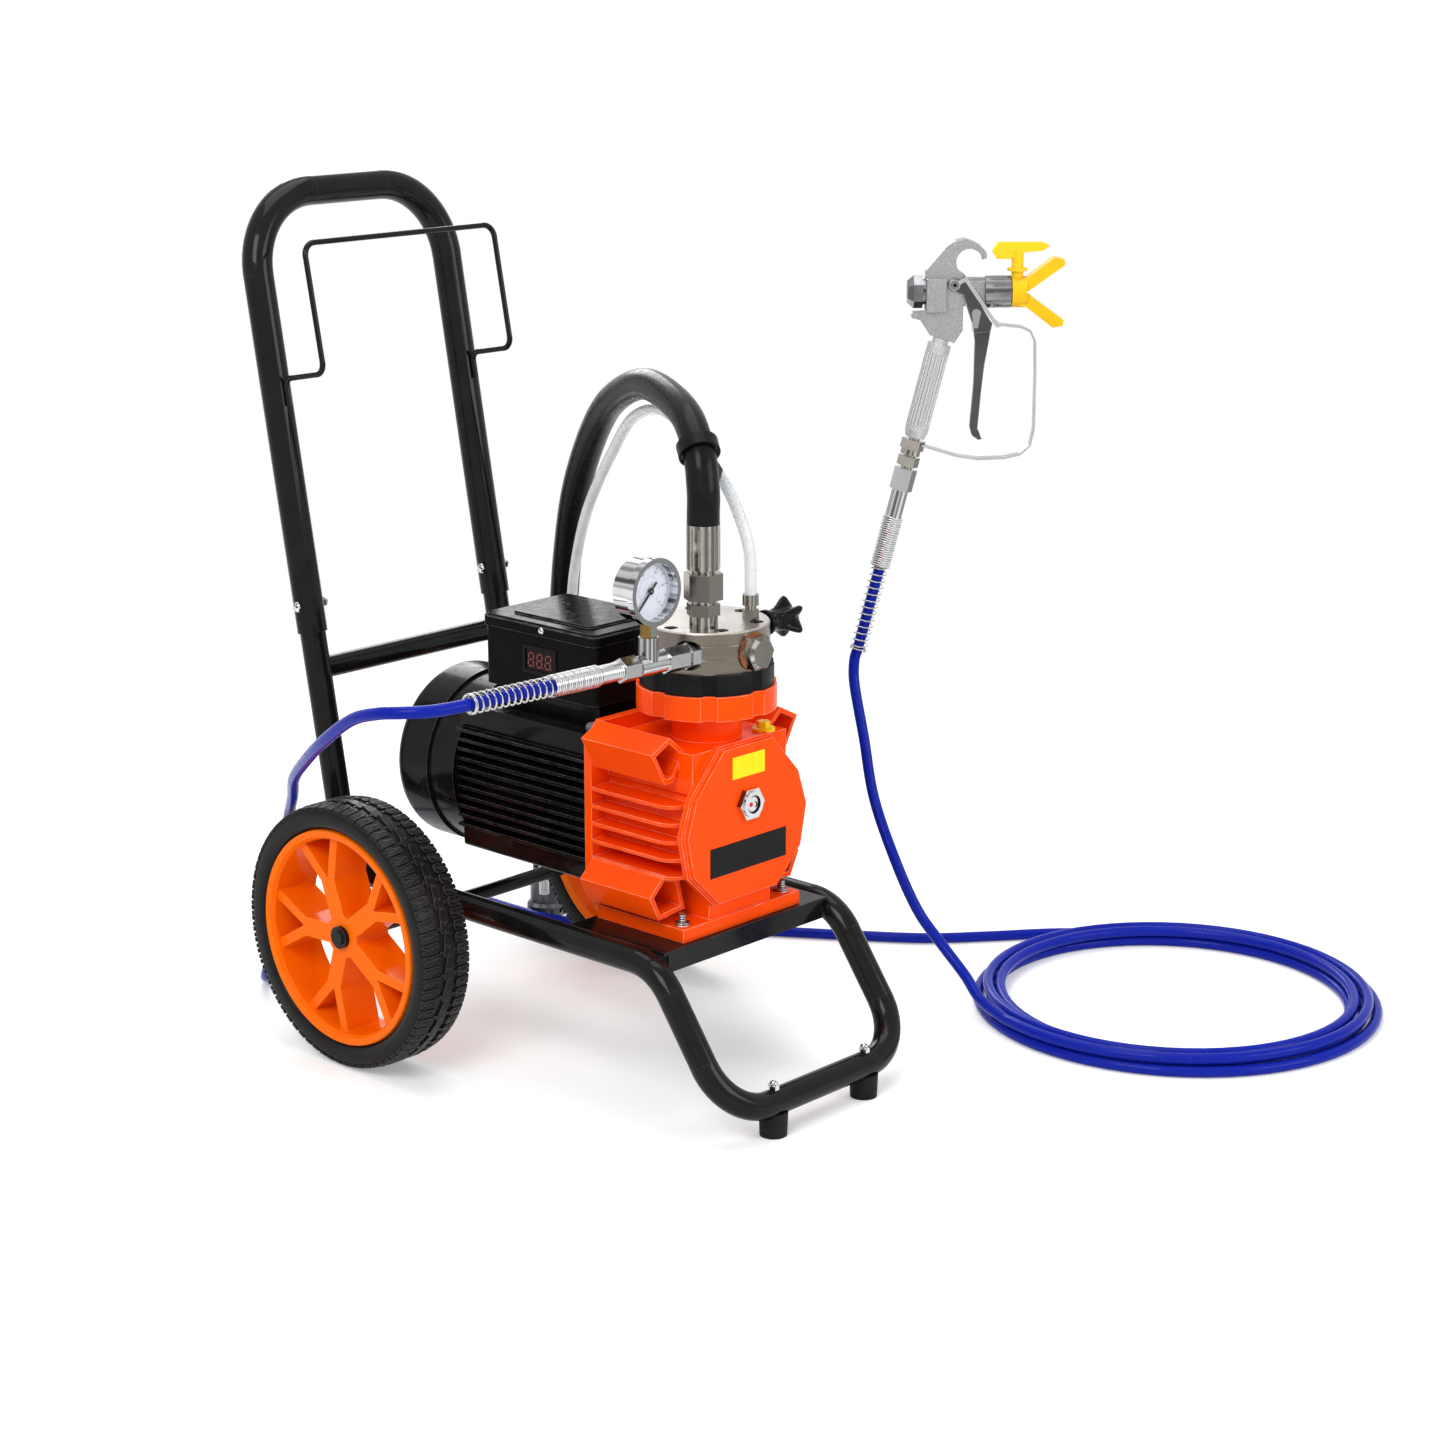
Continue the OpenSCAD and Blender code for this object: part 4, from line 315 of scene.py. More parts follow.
def zinc_material():
    """Bright zinc plate: fine machining marks, and a painted reflection: faces that differ in tone."""
    p = Paint("zinc_plate", (0.6, 0.61, 0.62), 0.25, 1.0)
    speck = p.noise(900, 2, 0.5)
    tone = p.mix(p.between(speck, 0.35, 0.65), (0.56, 0.565, 0.57), (0.68, 0.685, 0.69))
    # Painted reflection: faces turned some ways darker.
    p.color(p.mix(p.between(p.facing(2.8), 0.42, 0.56), (0.15, 0.15, 0.155), tone))
    p.rough(p.between(p.noise(240, 3), 0.3, 0.7, 0.14, 0.26))
    p.normal(p.bump(speck, 0.04, 0.0004, p.edges(0.6)))
    return p


def cast_material():
    """Bead-blasted aluminium casting: a sparkling grain, and a painted reflection: faces that differ in tone."""
    p = Paint("gun_cast_aluminium", (0.42, 0.42, 0.425), 0.42, 0.9)
    grain = p.noise(620, 4, 0.8)
    tone = p.mix(p.between(grain, 0.38, 0.62), (0.24, 0.24, 0.243), (0.62, 0.62, 0.625))
    # Painted reflection: faces turned some ways darker.
    p.color(p.mix(p.between(p.facing(), 0.4, 0.6), (0.28, 0.28, 0.285), tone))
    p.rough(p.between(p.noise(900, 2), 0.3, 0.7, 0.34, 0.52))
    p.normal(p.bump(grain, 0.5, 0.0006, p.edges(1.2)))
    return p


def grip_material(centre, axis):
    """Satin aluminium tube with fine knurled lines along it, darker in their grooves: painted shade."""
    p = Paint("grip_knurled", (0.56, 0.565, 0.57), 0.34, 0.9)
    side = axis.orthogonal().normalized()
    other = axis.cross(side)
    rel = p.new("ShaderNodeVectorMath", operation="SUBTRACT")
    p.put(rel.inputs[0], p.co)
    rel.inputs[1].default_value = tuple(centre)
    turn = p.math("ARCTAN2", p.along(rel.outputs[0], side), p.along(rel.outputs[0], other))
    lines = p.math("SINE", p.math("MULTIPLY", turn, 54.0))
    ticks = p.math("SINE", p.math("MULTIPLY", p.along(rel.outputs[0], axis), 2600.0))
    knurl = p.math("ADD", lines, p.math("MULTIPLY", ticks, 0.35))
    # Painted shade: darker in the knurl's grooves, lighter on its ridges.
    p.color(p.mix(p.between(knurl, -1.2, 1.2), (0.30, 0.30, 0.305), (0.78, 0.785, 0.79)))
    p.rough(p.between(p.noise(600, 3), 0.3, 0.7, 0.28, 0.42))
    p.normal(p.bump(knurl, 0.35, 0.0004))
    return p


def tyre_material():
    p = Paint("tyre_rubber", (0.008, 0.008, 0.008), 0.42, Specular_IOR_Level=0.12)
    skin = p.mix(p.between(p.noise(40, 4), 0.3, 0.7), (0.0055, 0.0055, 0.0055), (0.0095, 0.0093, 0.009))
    # Painted highlight: the rubber lighter grey along the tread's sharp edges.
    p.color(p.mix(p.edge_glint(0.8, 4.0), skin, (0.13, 0.13, 0.13)))
    p.rough(p.between(p.noise(160, 4), 0.3, 0.7, 0.28, 0.44))
    p.normal(p.bump(p.noise(900, 3), 0.15, 0.0005, p.edges(0.5)))
    return p


def crimp_material(name, direction):
    """Zinc sleeve with fine rings pressed round it, darker in their grooves: painted shade."""
    p = Paint(name, (0.6, 0.61, 0.62), 0.22, 1.0)
    rings = p.math("SINE", p.math("MULTIPLY", p.along(p.co, direction), 2500.0))
    # Painted shade: darker in the rings' grooves.
    p.color(p.mix(p.between(rings, -0.9, 0.3), (0.24, 0.24, 0.245), (0.66, 0.665, 0.67)))
    p.rough(p.between(p.noise(240, 3), 0.3, 0.7, 0.14, 0.26))
    p.normal(p.bump(rings, 0.3, 0.0004))
    return p


def clear_tube_material():
    p = Paint("return_tube_milky", (0.86, 0.88, 0.90), 0.22, 0.0, Transmission_Weight=0.35, IOR=1.38)
    p.color(p.mix(p.between(p.noise(40, 2), 0.3, 0.7), (0.78, 0.81, 0.84), (0.92, 0.93, 0.94)))
    p.rough(p.between(p.noise(90, 3), 0.3, 0.7, 0.15, 0.3))
    return p


def glass_material():
    p = Paint("gauge_glass", (1, 1, 1), 0.03, 0.0, Transmission_Weight=1.0, IOR=1.15)
    p.rough(p.between(p.noise(60, 2), 0.3, 0.7, 0.0, 0.04))
    return p


def thread_material():
    """Stud with a thread: a fine wave along Z, darker in its grooves: painted shade."""
    p = Paint("stud_thread", (0.42, 0.42, 0.43), 0.3, 1.0)
    wave = p.new("ShaderNodeTexWave", wave_type="BANDS", bands_direction="Z", wave_profile="SIN")
    wave.inputs["Scale"].default_value = 128
    p.put(wave.inputs["Vector"], p.co)
    # Painted shade: darker in the thread's grooves.
    p.color(p.mix(wave.outputs["Fac"], (0.16, 0.16, 0.17), (0.6, 0.6, 0.61)))
    p.rough(p.between(p.noise(300, 3), 0.3, 0.7, 0.22, 0.4))
    p.normal(p.bump(wave.outputs["Fac"], 0.9, 0.001))
    return p


zinc = zinc_material()
cast = cast_material()
tyre_rubber = tyre_material()
milky = clear_tube_material()
glass = glass_material()
thread = thread_material()

FINISH = {
    "frame": black_frame, "deck_plate": black_frame, "axle": black_frame, "handle": black_frame,
    "frame_bolts": chrome, "hose_hanger": black_frame, "rubber_feet": foot_rubber,
    "rim_left": rim_orange, "rim_right": rim_orange, "tyre_left": tyre_rubber, "tyre_right": tyre_rubber,
    "motor_housing": motor_black, "motor_end_shield": motor_black, "fan_cowl": motor_black,
    "cooling_fan": fan_black, "stator": core_steel, "rotor_shaft": shaft_steel, "shaft_bearings": steel,
    "eccentric": steel, "control_box": box_black, "control_box_lid": box_black,
    "display_module": display_dark, "power_switch": switch_red, "crankcase": orange,
    "crankcase_cover": orange, "sight_glass": chrome, "oil_cap": cap_yellow, "base_bolts": thread,
    "piston": steel, "piston_spring": steel, "diaphragm": foot_rubber, "clamp_ring": ring_black,
    "pump_head": head_nickel, "head_screws": screw_black, "valve_plug": nickel_fit,
    "head_fittings": nickel_fit, "outlet_tee": zinc, "gauge_case": chrome, "gauge_needle": knob_black,
    "gauge_lens": glass, "pressure_knob": knob_black, "suction_strainer": strainer_metal,
    "hose_clips": clip_black, "hose_ferrules": zinc, "gun_body": cast, "gun_grip": steel,
    "gun_trigger": trigger_grey, "trigger_guard": strap_steel, "trigger_lock": steel,
    "gun_needle": steel, "retaining_nut": nut_metal, "tip_guard": guard_amber,
    "spray_tip": tip_yellow, "gun_plug": plug_metal,
}
for name, paint in FINISH.items():
    data = NODES[name].data
    data.materials.clear()
    data.materials.append(paint.m)


def repaint(name, paint, chosen):
    """Faces of a CAD node whose centre is chosen get another material. The mesh itself stays."""
    data = NODES[name].data
    index = len(data.materials)
    data.materials.append(paint.m)
    for face in data.polygons:
        if chosen(face.center / MM, face.normal):
            face.material_index = index


# ---------------------------------------------------------------- making pieces
def add(name, data, body, paint, replaces=(), material_slot=None, smooth=True):
    obj = bpy.data.objects.new(name, data)
    scene.collection.objects.link(obj)
    if hasattr(data, "materials"):
        data.materials.clear()
        data.materials.append(paint.m)
    if smooth and isinstance(data, bpy.types.Mesh):
        for face in data.polygons:
            face.use_smooth = True
    if replaces:
        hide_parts(*replaces)
    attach(obj, body)
    return obj


def line(name, paths, radius, body, paint, sides=12, **kw):
    """A round rod, wire or hose: one open spline for each path."""
    data = bpy.data.curves.new(name, "CURVE")
    data.dimensions = "3D"
    data.bevel_depth = radius
    data.bevel_resolution = sides // 2 - 2
    data.use_fill_caps = True
    for path in paths:
        spline = data.splines.new("POLY")
        spline.points.add(len(path) - 1)
        for point, p in zip(spline.points, path):
            point.co = (*p, 1)
        spline.use_smooth = True
    return add(name, data, body, paint, **kw)


def solid(name, verts, faces, body, paint, bevel=0.0, segments=2, **kw):
    data = bpy.data.meshes.new(name)
    data.from_pydata([tuple(v) for v in verts], [], faces)
    data.validate()
    b = bmesh.new()
    b.from_mesh(data)
    bmesh.ops.recalc_face_normals(b, faces=b.faces)
    if bevel:
        bmesh.ops.bevel(b, geom=list(b.edges), offset=bevel, segments=segments, affect="EDGES", profile=0.6)
    b.to_mesh(data)
    b.free()
    return add(name, data, body, paint, smooth=kw.pop("smooth", False), **kw)


def prism(name, outline, depth, place, body, paint, bevel=0.0, segments=2, **kw):
    """A flat outline in millimetres, thickened along its own +Z, then placed by a matrix."""
    n = len(outline)
    verts = [place @ (Vector((x, y, z)) * MM) for z in (0, depth) for x, y in outline]
    faces = [list(range(n))[::-1], [n + i for i in range(n)]]
    faces += [[i, (i + 1) % n, n + (i + 1) % n, n + i] for i in range(n)]
    return solid(name, verts, faces, body, paint, bevel * MM, segments, **kw)


def facing_front(x, y, z):
    """Local X right, local Y up, local Z towards the front, -Y."""
    return Matrix.Translation(mm(x, y, z)) @ Matrix.Rotation(math.radians(90), 4, "X")


def ring(n, r, phase=0.0):
    return [(r * math.cos(2 * math.pi * i / n + phase), r * math.sin(2 * math.pi * i / n + phase)) for i in range(n)]


def revolve(name, profile, place, body, paint, steps=48, **kw):
    """A closed profile of (radius, height) in millimetres, turned about local Z."""
    n = len(profile)
    verts = []
    for s in range(steps):
        a = 2 * math.pi * s / steps
        verts += [place @ (Vector((r * math.cos(a), r * math.sin(a), z)) * MM) for r, z in profile]
    faces = []
    for s in range(steps):
        t = (s + 1) % steps
        faces += [[s * n + i, t * n + i, t * n + (i + 1) % n, s * n + (i + 1) % n] for i in range(n)]
    return solid(name, verts, faces, body, paint, smooth=True, **kw)


# ---------------------------------------------------------------- cords, on the routes of part.scad
def curve_through(points, steps):
    """Points on the smooth curve through the given ones."""
    out = []
    for i in range(len(points) - 1):
        a, b = points[max(i - 1, 0)], points[i]
        c, d = points[i + 1], points[min(i + 2, len(points) - 1)]
        for k in range(steps):
            s = k / steps
            out.append(0.5 * (2 * b + (c - a) * s + (2 * a - 5 * b + 4 * c - d) * s * s
                              + (3 * b - a - 3 * c + d) * s ** 3))
    out.append(points[-1].copy())
    return out


turn = math.radians(4)
OUT_DIR = Vector((-math.cos(turn), math.sin(turn), 0))
OUT_AT = mm(-50, -333, 470)
HOSE_R = 6.1 * MM
HOSE_Z = 6.2
GUN_AT = mm(401, -245, 622)
heading = math.radians(-47.3)
lean = math.radians(14)
GUN = Matrix.Translation(GUN_AT) @ Matrix.Rotation(heading, 4, "Z")
GUN_DIR = (GUN.to_3x3() @ Vector((-math.sin(lean), 0, -math.cos(lean)))).normalized()
RISER_TOP = GUN_AT + GUN_DIR * 250 * MM
GUN_FERRULE_END = GUN_AT + GUN_DIR * 150 * MM


# The coil winds inwards on the floor, climbs on to itself, and winds outwards again
COIL_X, COIL_Y = 512, -540
COIL_START = 50
COIL_R = 229
COIL_IN_R = 193
LOOP_PITCH = 15
LAYER_RISE = 12.9
LOWER_TURNS, CLIMB_TURNS, UPPER_TURNS = 2.4, 0.5, 1.79
COIL_TURNS = LOWER_TURNS + CLIMB_TURNS + UPPER_TURNS


def coil_radius(t):
    if t < LOWER_TURNS:
        return COIL_R - LOOP_PITCH * t
    return COIL_IN_R + LOOP_PITCH * max(t - (LOWER_TURNS + CLIMB_TURNS), 0)


def coil_point(t):
    a = math.radians(COIL_START - 360 * t)
    s = min(max((t - LOWER_TURNS) / CLIMB_TURNS, 0), 1)
    r = coil_radius(t)
    return mm(COIL_X + r * math.cos(a), COIL_Y + r * math.sin(a), HOSE_Z + LAYER_RISE * s * s * (3 - 2 * s))


def coil_heading(t):
    a = math.radians(COIL_START - 360 * t)
    return Vector((math.sin(a), -math.cos(a), 0))


line_end = OUT_AT + OUT_DIR * 286 * MM
run_points = [line_end, line_end + OUT_DIR * 16 * MM] + [mm(*p) for p in [
    (-377, -305, 470), (-395, -287, 469), (-402, -262, 465), (-397, -218, 450),
    (-376, -150, 412), (-338, -75, 370), (-296, -5, 330), (-248, 58, 288), (-208, 115, 246),
    (-188, 152, 190), (-178, 178, 120), (-170, 202, 60), (-154, 234, 22),
    (-120, 272, HOSE_Z), (-60, 310, HOSE_Z), (10, 338, HOSE_Z), (80, 355, HOSE_Z),
    (150, 356, HOSE_Z), (200, 334, HOSE_Z), (225, 290, HOSE_Z), (228, 230, HOSE_Z),
    (233, 170, HOSE_Z), (270, 92, HOSE_Z), (325, 15, HOSE_Z), (375, -48, HOSE_Z),
    (430, -130, HOSE_Z), (484, -205, HOSE_Z), (540, -256, HOSE_Z), (600, -305, HOSE_Z)]]
run_points += [coil_point(0) - coil_heading(0) * 14 * MM, coil_point(0)]
riser_points = [coil_point(COIL_TURNS), coil_point(COIL_TURNS) + coil_heading(COIL_TURNS) * 14 * MM]
riser_points += [mm(*p) for p in [
    (322, -415, 26), (333, -384, 44), (334, -348, 73), (327, -320, 107),
    (325, -288, 160), (333, -250, 222), (343, -226, 285), (353, -203, 340)]]
riser_points += [RISER_TOP + GUN_DIR * 14 * MM, RISER_TOP]
hose_start = OUT_AT + OUT_DIR * 186 * MM
coil_dense = [coil_point(COIL_TURNS * i / 300) for i in range(1, 300)]
hose_path = [hose_start + (line_end - hose_start) * i / 6 for i in range(6)]
hose_path += curve_through(run_points, 6) + coil_dense + curve_through(riser_points, 6)
hose_path += [RISER_TOP + (GUN_FERRULE_END - RISER_TOP) * i / 6 for i in range(1, 7)]
pressure_hose = line("pressure_hose", [hose_path], HOSE_R, "cart", hose_blue, sides=16,
                     replaces=("hose_run", "hose_coil", "hose_riser"), material_slot="hose_blue")

suction_path = curve_through([mm(*p) for p in [
    (-28, -326, 598), (-28, -326, 608), (-28, -326, 632), (-20, -312, 670),
    (10, -262, 700), (62, -162, 710), (112, -66, 680), (146, 0, 632),
    (174, 58, 556), (190, 90, 475), (199, 108, 400), (215, 140, 300),
    (233, 170, 210), (252, 196, 130), (262, 208, 86), (262, 208, 56), (262, 208, 46)]], 8)
suction = line("suction_hose_jacket", [suction_path], 16.5 * MM, "cart", hose_black, sides=24,
               replaces=("suction_hose",), material_slot="suction_rubber")

return_path = curve_through([mm(*p) for p in [
    (30, -337, 519), (30, -337, 523), (30, -337, 533), (30, -334, 568),
    (27, -316, 612), (28, -288, 644), (42, -246, 668), (76, -170, 682),
    (112, -94, 662), (140, -34, 614), (160, 26, 540), (176, 64, 465),
    (186, 84, 395), (200, 116, 300), (212, 148, 200), (226, 172, 130),
    (233, 182, 84), (233, 182, 36)]], 8)
returning = line("return_tube_clear", [return_path], 6 * MM, "cart", milky, sides=16,
                 replaces=("return_tube",), material_slot="clear_tube")


# ---------------------------------------------------------------- spring guards
def spring_path(start, direction, length, radius, wire, curls):
    """Closed end coils at the free end, open ones before it."""
    side = direction.cross(Vector((0, 0, 1)) if abs(direction.z) < 0.9 else Vector((1, 0, 0))).normalized()
    up = direction.cross(side)
    closed = 1.6
    opened = curls - closed
    pts = []
    for i in range(int(24 * curls) + 1):
        t = i / 24
        if t < opened:
            z = wire / 2 + (length - wire * (closed + 1.1)) * t / opened
        else:
            z = length - wire * 0.6 - wire * 1.02 * (curls - t)
        a = 2 * math.pi * t
        pts.append(start + direction * z + (side * math.cos(a) + up * math.sin(a)) * radius)
    return pts


SPRING_LEN, SPRING_R, SPRING_WIRE, SPRING_CURLS = 100 * MM, 9.6 * MM, 1.8 * MM, 14
springs = line("spring_guard_coils", [
    spring_path(start, way, SPRING_LEN, SPRING_R, SPRING_WIRE, SPRING_CURLS)
    for start, way in ((hose_start, OUT_DIR), (GUN_FERRULE_END, GUN_DIR))],
    SPRING_WIRE / 2, "cart", chrome, sides=8, replaces=("spring_guards",), material_slot="chrome_trim")

# The piston's return spring, from the piston's collar to the diaphragm's seat
THROW, ECCENTRIC_R, FACE_GAP = 5, 24, 0.4
SPRING_SEAT = 1.6
follower = SHAFT_Z + THROW + ECCENTRIC_R + FACE_GAP
low = follower + 8 + 5 + SPRING_SEAT
high = 401 - SPRING_SEAT
line("piston_spring_wire", [[
    mm(19 * math.cos(i * math.pi / 12), -304 + 19 * math.sin(i * math.pi / 12), low + (high - low) * i / 120)
    for i in range(121)]], 1.5 * MM, "cart", steel, sides=8, replaces=("piston_spring",), material_slot="steel")

# ---------------------------------------------------------------- repainted faces of CAD nodes
COVER_FACE = -362.02
SIGHT_FACE, SIGHT_Z = -368.0, 311.0
repaint("gauge_case", brass, lambda c, n: c.z < 511.5)
# The head's upward faces get the lighter copy: painted light from above.
repaint("pump_head", head_top, lambda c, n: n.z > 0.5)
KNOB_LOW, KNOB_HIGH = (Vector(p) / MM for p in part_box("pressure_knob"))
KNOB_LEN = 47
KNOB_MID = (KNOB_LOW + KNOB_HIGH) / 2
KNOB_AT = Matrix.Translation(mm(KNOB_HIGH.x - KNOB_LEN, KNOB_MID.y, KNOB_MID.z)) @ Matrix.Rotation(
    math.radians(90), 4, "Y")
revolve("knob_stem", [(0, -29), (6, -29), (6, 6), (0, 6)], KNOB_AT, "knob", chrome, steps=32,
        replaces=("pressure_knob",), material_slot="steel")


def star_knob(levels, lobes=5, steps=20, sharp=1.7):
    """A grip with pointed lobes: each level is a height, the radius between lobes and the radius at their tips."""
    verts, faces = [], []
    n = lobes * steps
    for z, low, high in levels:
        for i in range(n):
            share = (0.5 + 0.5 * math.cos(2 * math.pi * i / steps)) ** sharp
            r = low + (high - low) * share
            a = 2 * math.pi * i / n + 0.3
            verts.append(KNOB_AT @ (Vector((r * math.cos(a), r * math.sin(a), z)) * MM))
    for k in range(len(levels) - 1):
        faces += [(k * n + i, k * n + (i + 1) % n, (k + 1) * n + (i + 1) % n, (k + 1) * n + i) for i in range(n)]
    faces += [tuple(range(n))[::-1], tuple((len(levels) - 1) * n + i for i in range(n))]
    return verts, faces


star_verts, star_faces = star_knob([
    (0, 12.0, 12.0), (0.6, 13.4, 13.4), (4.2, 13.4, 13.4), (5, 12.2, 12.2), (12, 11.2, 11.6), (19, 11.0, 13.0),
    (25, 11.2, 16.0), (30, 11.6, 19.4), (34, 12.0, 22.0), (37.5, 11.6, 22.8), (40, 10.8, 21.4), (43, 9.6, 16.0),
    (45.5, 8.0, 10.5), (46.6, 5.0, 6.0)])
solid("knob_star_grip", star_verts, star_faces, "knob", knob_black, smooth=True,
      replaces=("pressure_knob",), material_slot="box_black")
crimp_pump = crimp_material("crimp_rings_pump", OUT_DIR)
crimp_gun = crimp_material("crimp_rings_gun", GUN_DIR)
# Each ferrule's crimped sleeve starts this far along it, in metres
for far, crimp, start, way, sleeve in (
        (-1, crimp_pump, OUT_AT, OUT_DIR, 0.095), (1, crimp_gun, GUN_AT, GUN_DIR, 0.085)):
    repaint("hose_ferrules", crimp, lambda c, n: c.x * far > 0 and (c * MM - start).dot(way) > sleeve
            and abs(n.dot(way)) < 0.3)
# The gauge case's front faces get the darker chrome: a painted dark reflection.
repaint("gauge_case", chrome_dark, lambda c, n: c.y < -330.5 and n.y < -0.8)
repaint("valve_plug", copper, lambda c, n: c.y > -368.2)
repaint("stator", winding, lambda c, n: c.y > -21 - 44 or c.y < -222 + 35.5)
NODES["gun_grip"].data.materials[0] = grip_material(GUN_AT, GUN_DIR).m
repaint("gun_grip", nickel_fit, lambda c, n: (GUN.inverted() @ (c * MM)).z < -0.0005)
repaint("control_box_lid", chrome, lambda c, n: abs(c.x) > 63.2)
repaint("sight_glass", dial_white, lambda c, n: c.y > -366.2 and math.hypot(c.x, c.z - SIGHT_Z) < 9.4 and n.y < -0.9)

# ---------------------------------------------------------------- gun, in its own plane: x forward, y up, z across
GUN_PLANE = GUN @ Matrix(((1, 0, 0, 0), (0, 0, -1, 0), (0, 1, 0, 0), (0, 0, 0, 1)))
PIVOT = (40, 169)
GUARD_ARM_OUT = 15.2
STRAP_W = 12
BLOCK_T = 34
SCREW_H = 2.6
for side, label in ((-1, "near"), (1, "far")):
    head = GUN_PLANE @ Matrix.Translation(mm(*PIVOT, side * GUARD_ARM_OUT)) @ Matrix.Rotation(
        0 if side > 0 else math.pi, 4, "X")
    prism("guard_screw_" + label, ring(24, 5.0), SCREW_H, head, "cart", nut_metal, bevel=0.5,
          material_slot="chrome_trim")
    # A black hexagon on each screw head: painted shade standing in for the hex socket's recess.
    prism("guard_socket_shade_" + label, ring(6, 2.2), 0.15, head @ Matrix.Translation(mm(0, 0, SCREW_H - 0.05)), "cart",
          plate_black, bevel=0.05, material_slot="ring_black")
# The strap's lower end, carried on to the grip's fitting
prism("guard_tab", [(17, -13.0), (17, -10.6), (6, -7.3), (6, -9.7)], STRAP_W,
      GUN_PLANE @ Matrix.Translation(mm(0, 0, -STRAP_W / 2)), "cart", strap_steel, bevel=0.3,
      material_slot="chrome_trim")
prism("gun_body_block", [(9, 139), (31.4, 139), (31.4, 176), (9, 176)], BLOCK_T,
      GUN_PLANE @ Matrix.Translation(mm(0, 0, -BLOCK_T / 2)), "cart", cast, bevel=1.6, segments=3,
      material_slot="gun_aluminium")


# ---------------------------------------------------------------- tyres: a round-shouldered carcass and tread blocks
WHEEL_X, WHEEL_R = 214, 143


def bar_block(u, v, length, width, tilt=0.0, neck=0.0):
    """A rounded bar seen from outside the tyre: u runs round the tyre, v across it, both in millimetres."""
    a, w = length / 2, width / 2
    r = min(w * 0.7, 2.6)
    pts = [(-w + r, -a), (w - r, -a), (w, -a + r), (w - neck, 0), (w, a - r), (w - r, a), (-w + r, a), (-w, a - r),
           (-w + neck, 0), (-w, -a + r)]
    c, s = math.cos(tilt), math.sin(tilt)
    return [(u + x * c - y * s, v + x * s + y * c) for x, y in pts]


def lug(u, v, side, length, width, tilt):
    """A shoulder lug: round at its inner end v, slit from its outer end."""
    w = width / 2
    pts = [(2.8, -w), (length, -w), (length + 0.8, -w + 0.9), (length + 0.8, -1.1), (length, -0.5), (7.4, -0.5),
           (6.8, 0), (7.4, 0.5), (length, 0.5), (length + 0.8, 1.1), (length + 0.8, w - 0.9), (length, w), (2.8, w),
           (0.8, w - 1.7), (0, 1.2), (0, -1.2), (0.8, -w + 1.7)]
    c, s = math.cos(tilt), math.sin(tilt)
    out = [(u + y * c - x * s, v + side * (x * c + y * s)) for x, y in pts]
    return out if side > 0 else out[::-1]


def tread(side, pitches=36, outer=float(WHEEL_R), depth=3.4):
    """Blocks on the tyre's crown and lugs on its shoulders, the same at every pitch."""
    verts, faces = [], []
    pitch = 2 * math.pi * outer / pitches
    centre = Vector((side * WHEEL_X, 0, WHEEL_R))
    shapes = [bar_block(0.0, -0.8, 9.6, 16.6, 0.22), bar_block(pitch * 0.5, 0.8, 11.4, 14.0, 0.22, 3.8),
              bar_block(pitch * 0.5, -8.2, 4.2, 3.2, 0.0), bar_block(pitch * 0.5, 9.4, 4.2, 3.0, 0.0)]
    for k in (0.0, 0.5):
        shapes.append(lug(pitch * (k + 0.04), -11.6 if k else -10.8, -1, 18.2 if k else 19.0, pitch / 2 - 2.0, -0.05))
        shapes.append(lug(pitch * (k + 0.20), 10.8 if k else 11.6, 1, 19.0 if k else 18.2, pitch / 2 - 2.0, -0.05))
    for n in range(pitches):
        for shape in shapes:
            base = len(verts)
            m = len(shape)
            mid_u = sum(p[0] for p in shape) / m
            mid_v = sum(p[1] for p in shape) / m
            for share, radius in ((1.0, outer - depth), (1.0, outer - 0.6), (0.92, outer)):
                for u, v in shape:
                    u2 = mid_u + (u - mid_u) * share
                    v2 = mid_v + (v - mid_v) * share
                    a = (n * pitch + u2) / outer
                    drop = max(abs(v2) - 21.5, 0) ** 2 * 0.036
                    r = radius - drop
                    verts.append((centre + Vector((side * v2, r * math.cos(a), r * math.sin(a)))) * MM)
            for level in (0, 1):
                for i in range(m):
                    j = (i + 1) % m
                    faces.append((base + level * m + i, base + level * m + j, base + (level + 1) * m + j,
                                  base + (level + 1) * m + i))
            faces.append(tuple(base + 2 * m + i for i in range(m)))
    return verts, faces


CARCASS = [
    (111.2, -22.6), (117.4, -25.2), (118, -28), (121, -30.4), (126, -31), (132.5, -31), (136, -30.4),
    (138.6, -28.6), (140.0, -25.0), (140.5, -20.0), (140.6, 0.0), (140.5, 20.0), (140.0, 25.0), (138.6, 28.6),
    (136, 30.4), (132.5, 31), (126, 31), (121, 30.4), (118, 28), (117.4, 25.2), (111.2, 22.6)]
for side, label in ((-1, "left"), (1, "right")):
    place = Matrix.Translation(mm(side * WHEEL_X, 0, WHEEL_R)) @ Matrix.Rotation(math.radians(90), 4, "Y")
    revolve("tyre_carcass_" + label, CARCASS, place, "wheel_" + label, tyre_rubber, steps=96,
            replaces=("tyre_" + label,), material_slot="tyre")
    blocks, block_faces = tread(side)
    solid("tyre_tread_" + label, blocks, block_faces, "wheel_" + label, tyre_rubber, material_slot="tyre")

# ---------------------------------------------------------------- plates, display, dial and glass
prism("name_plate_bare", [(-57, 243), (57, 243), (57, 274), (-57, 274)], 0.5, facing_front(0, COVER_FACE, 0),
      "cart", plate_black, bevel=0.15, material_slot="box_black")
prism("notice_plate_bare", [(-24, 340), (24, 340), (24, 363), (-24, 363)], 0.4, facing_front(0, COVER_FACE, 0),
      "cart", sticker_yellow, bevel=0.12, material_slot="cap_yellow")


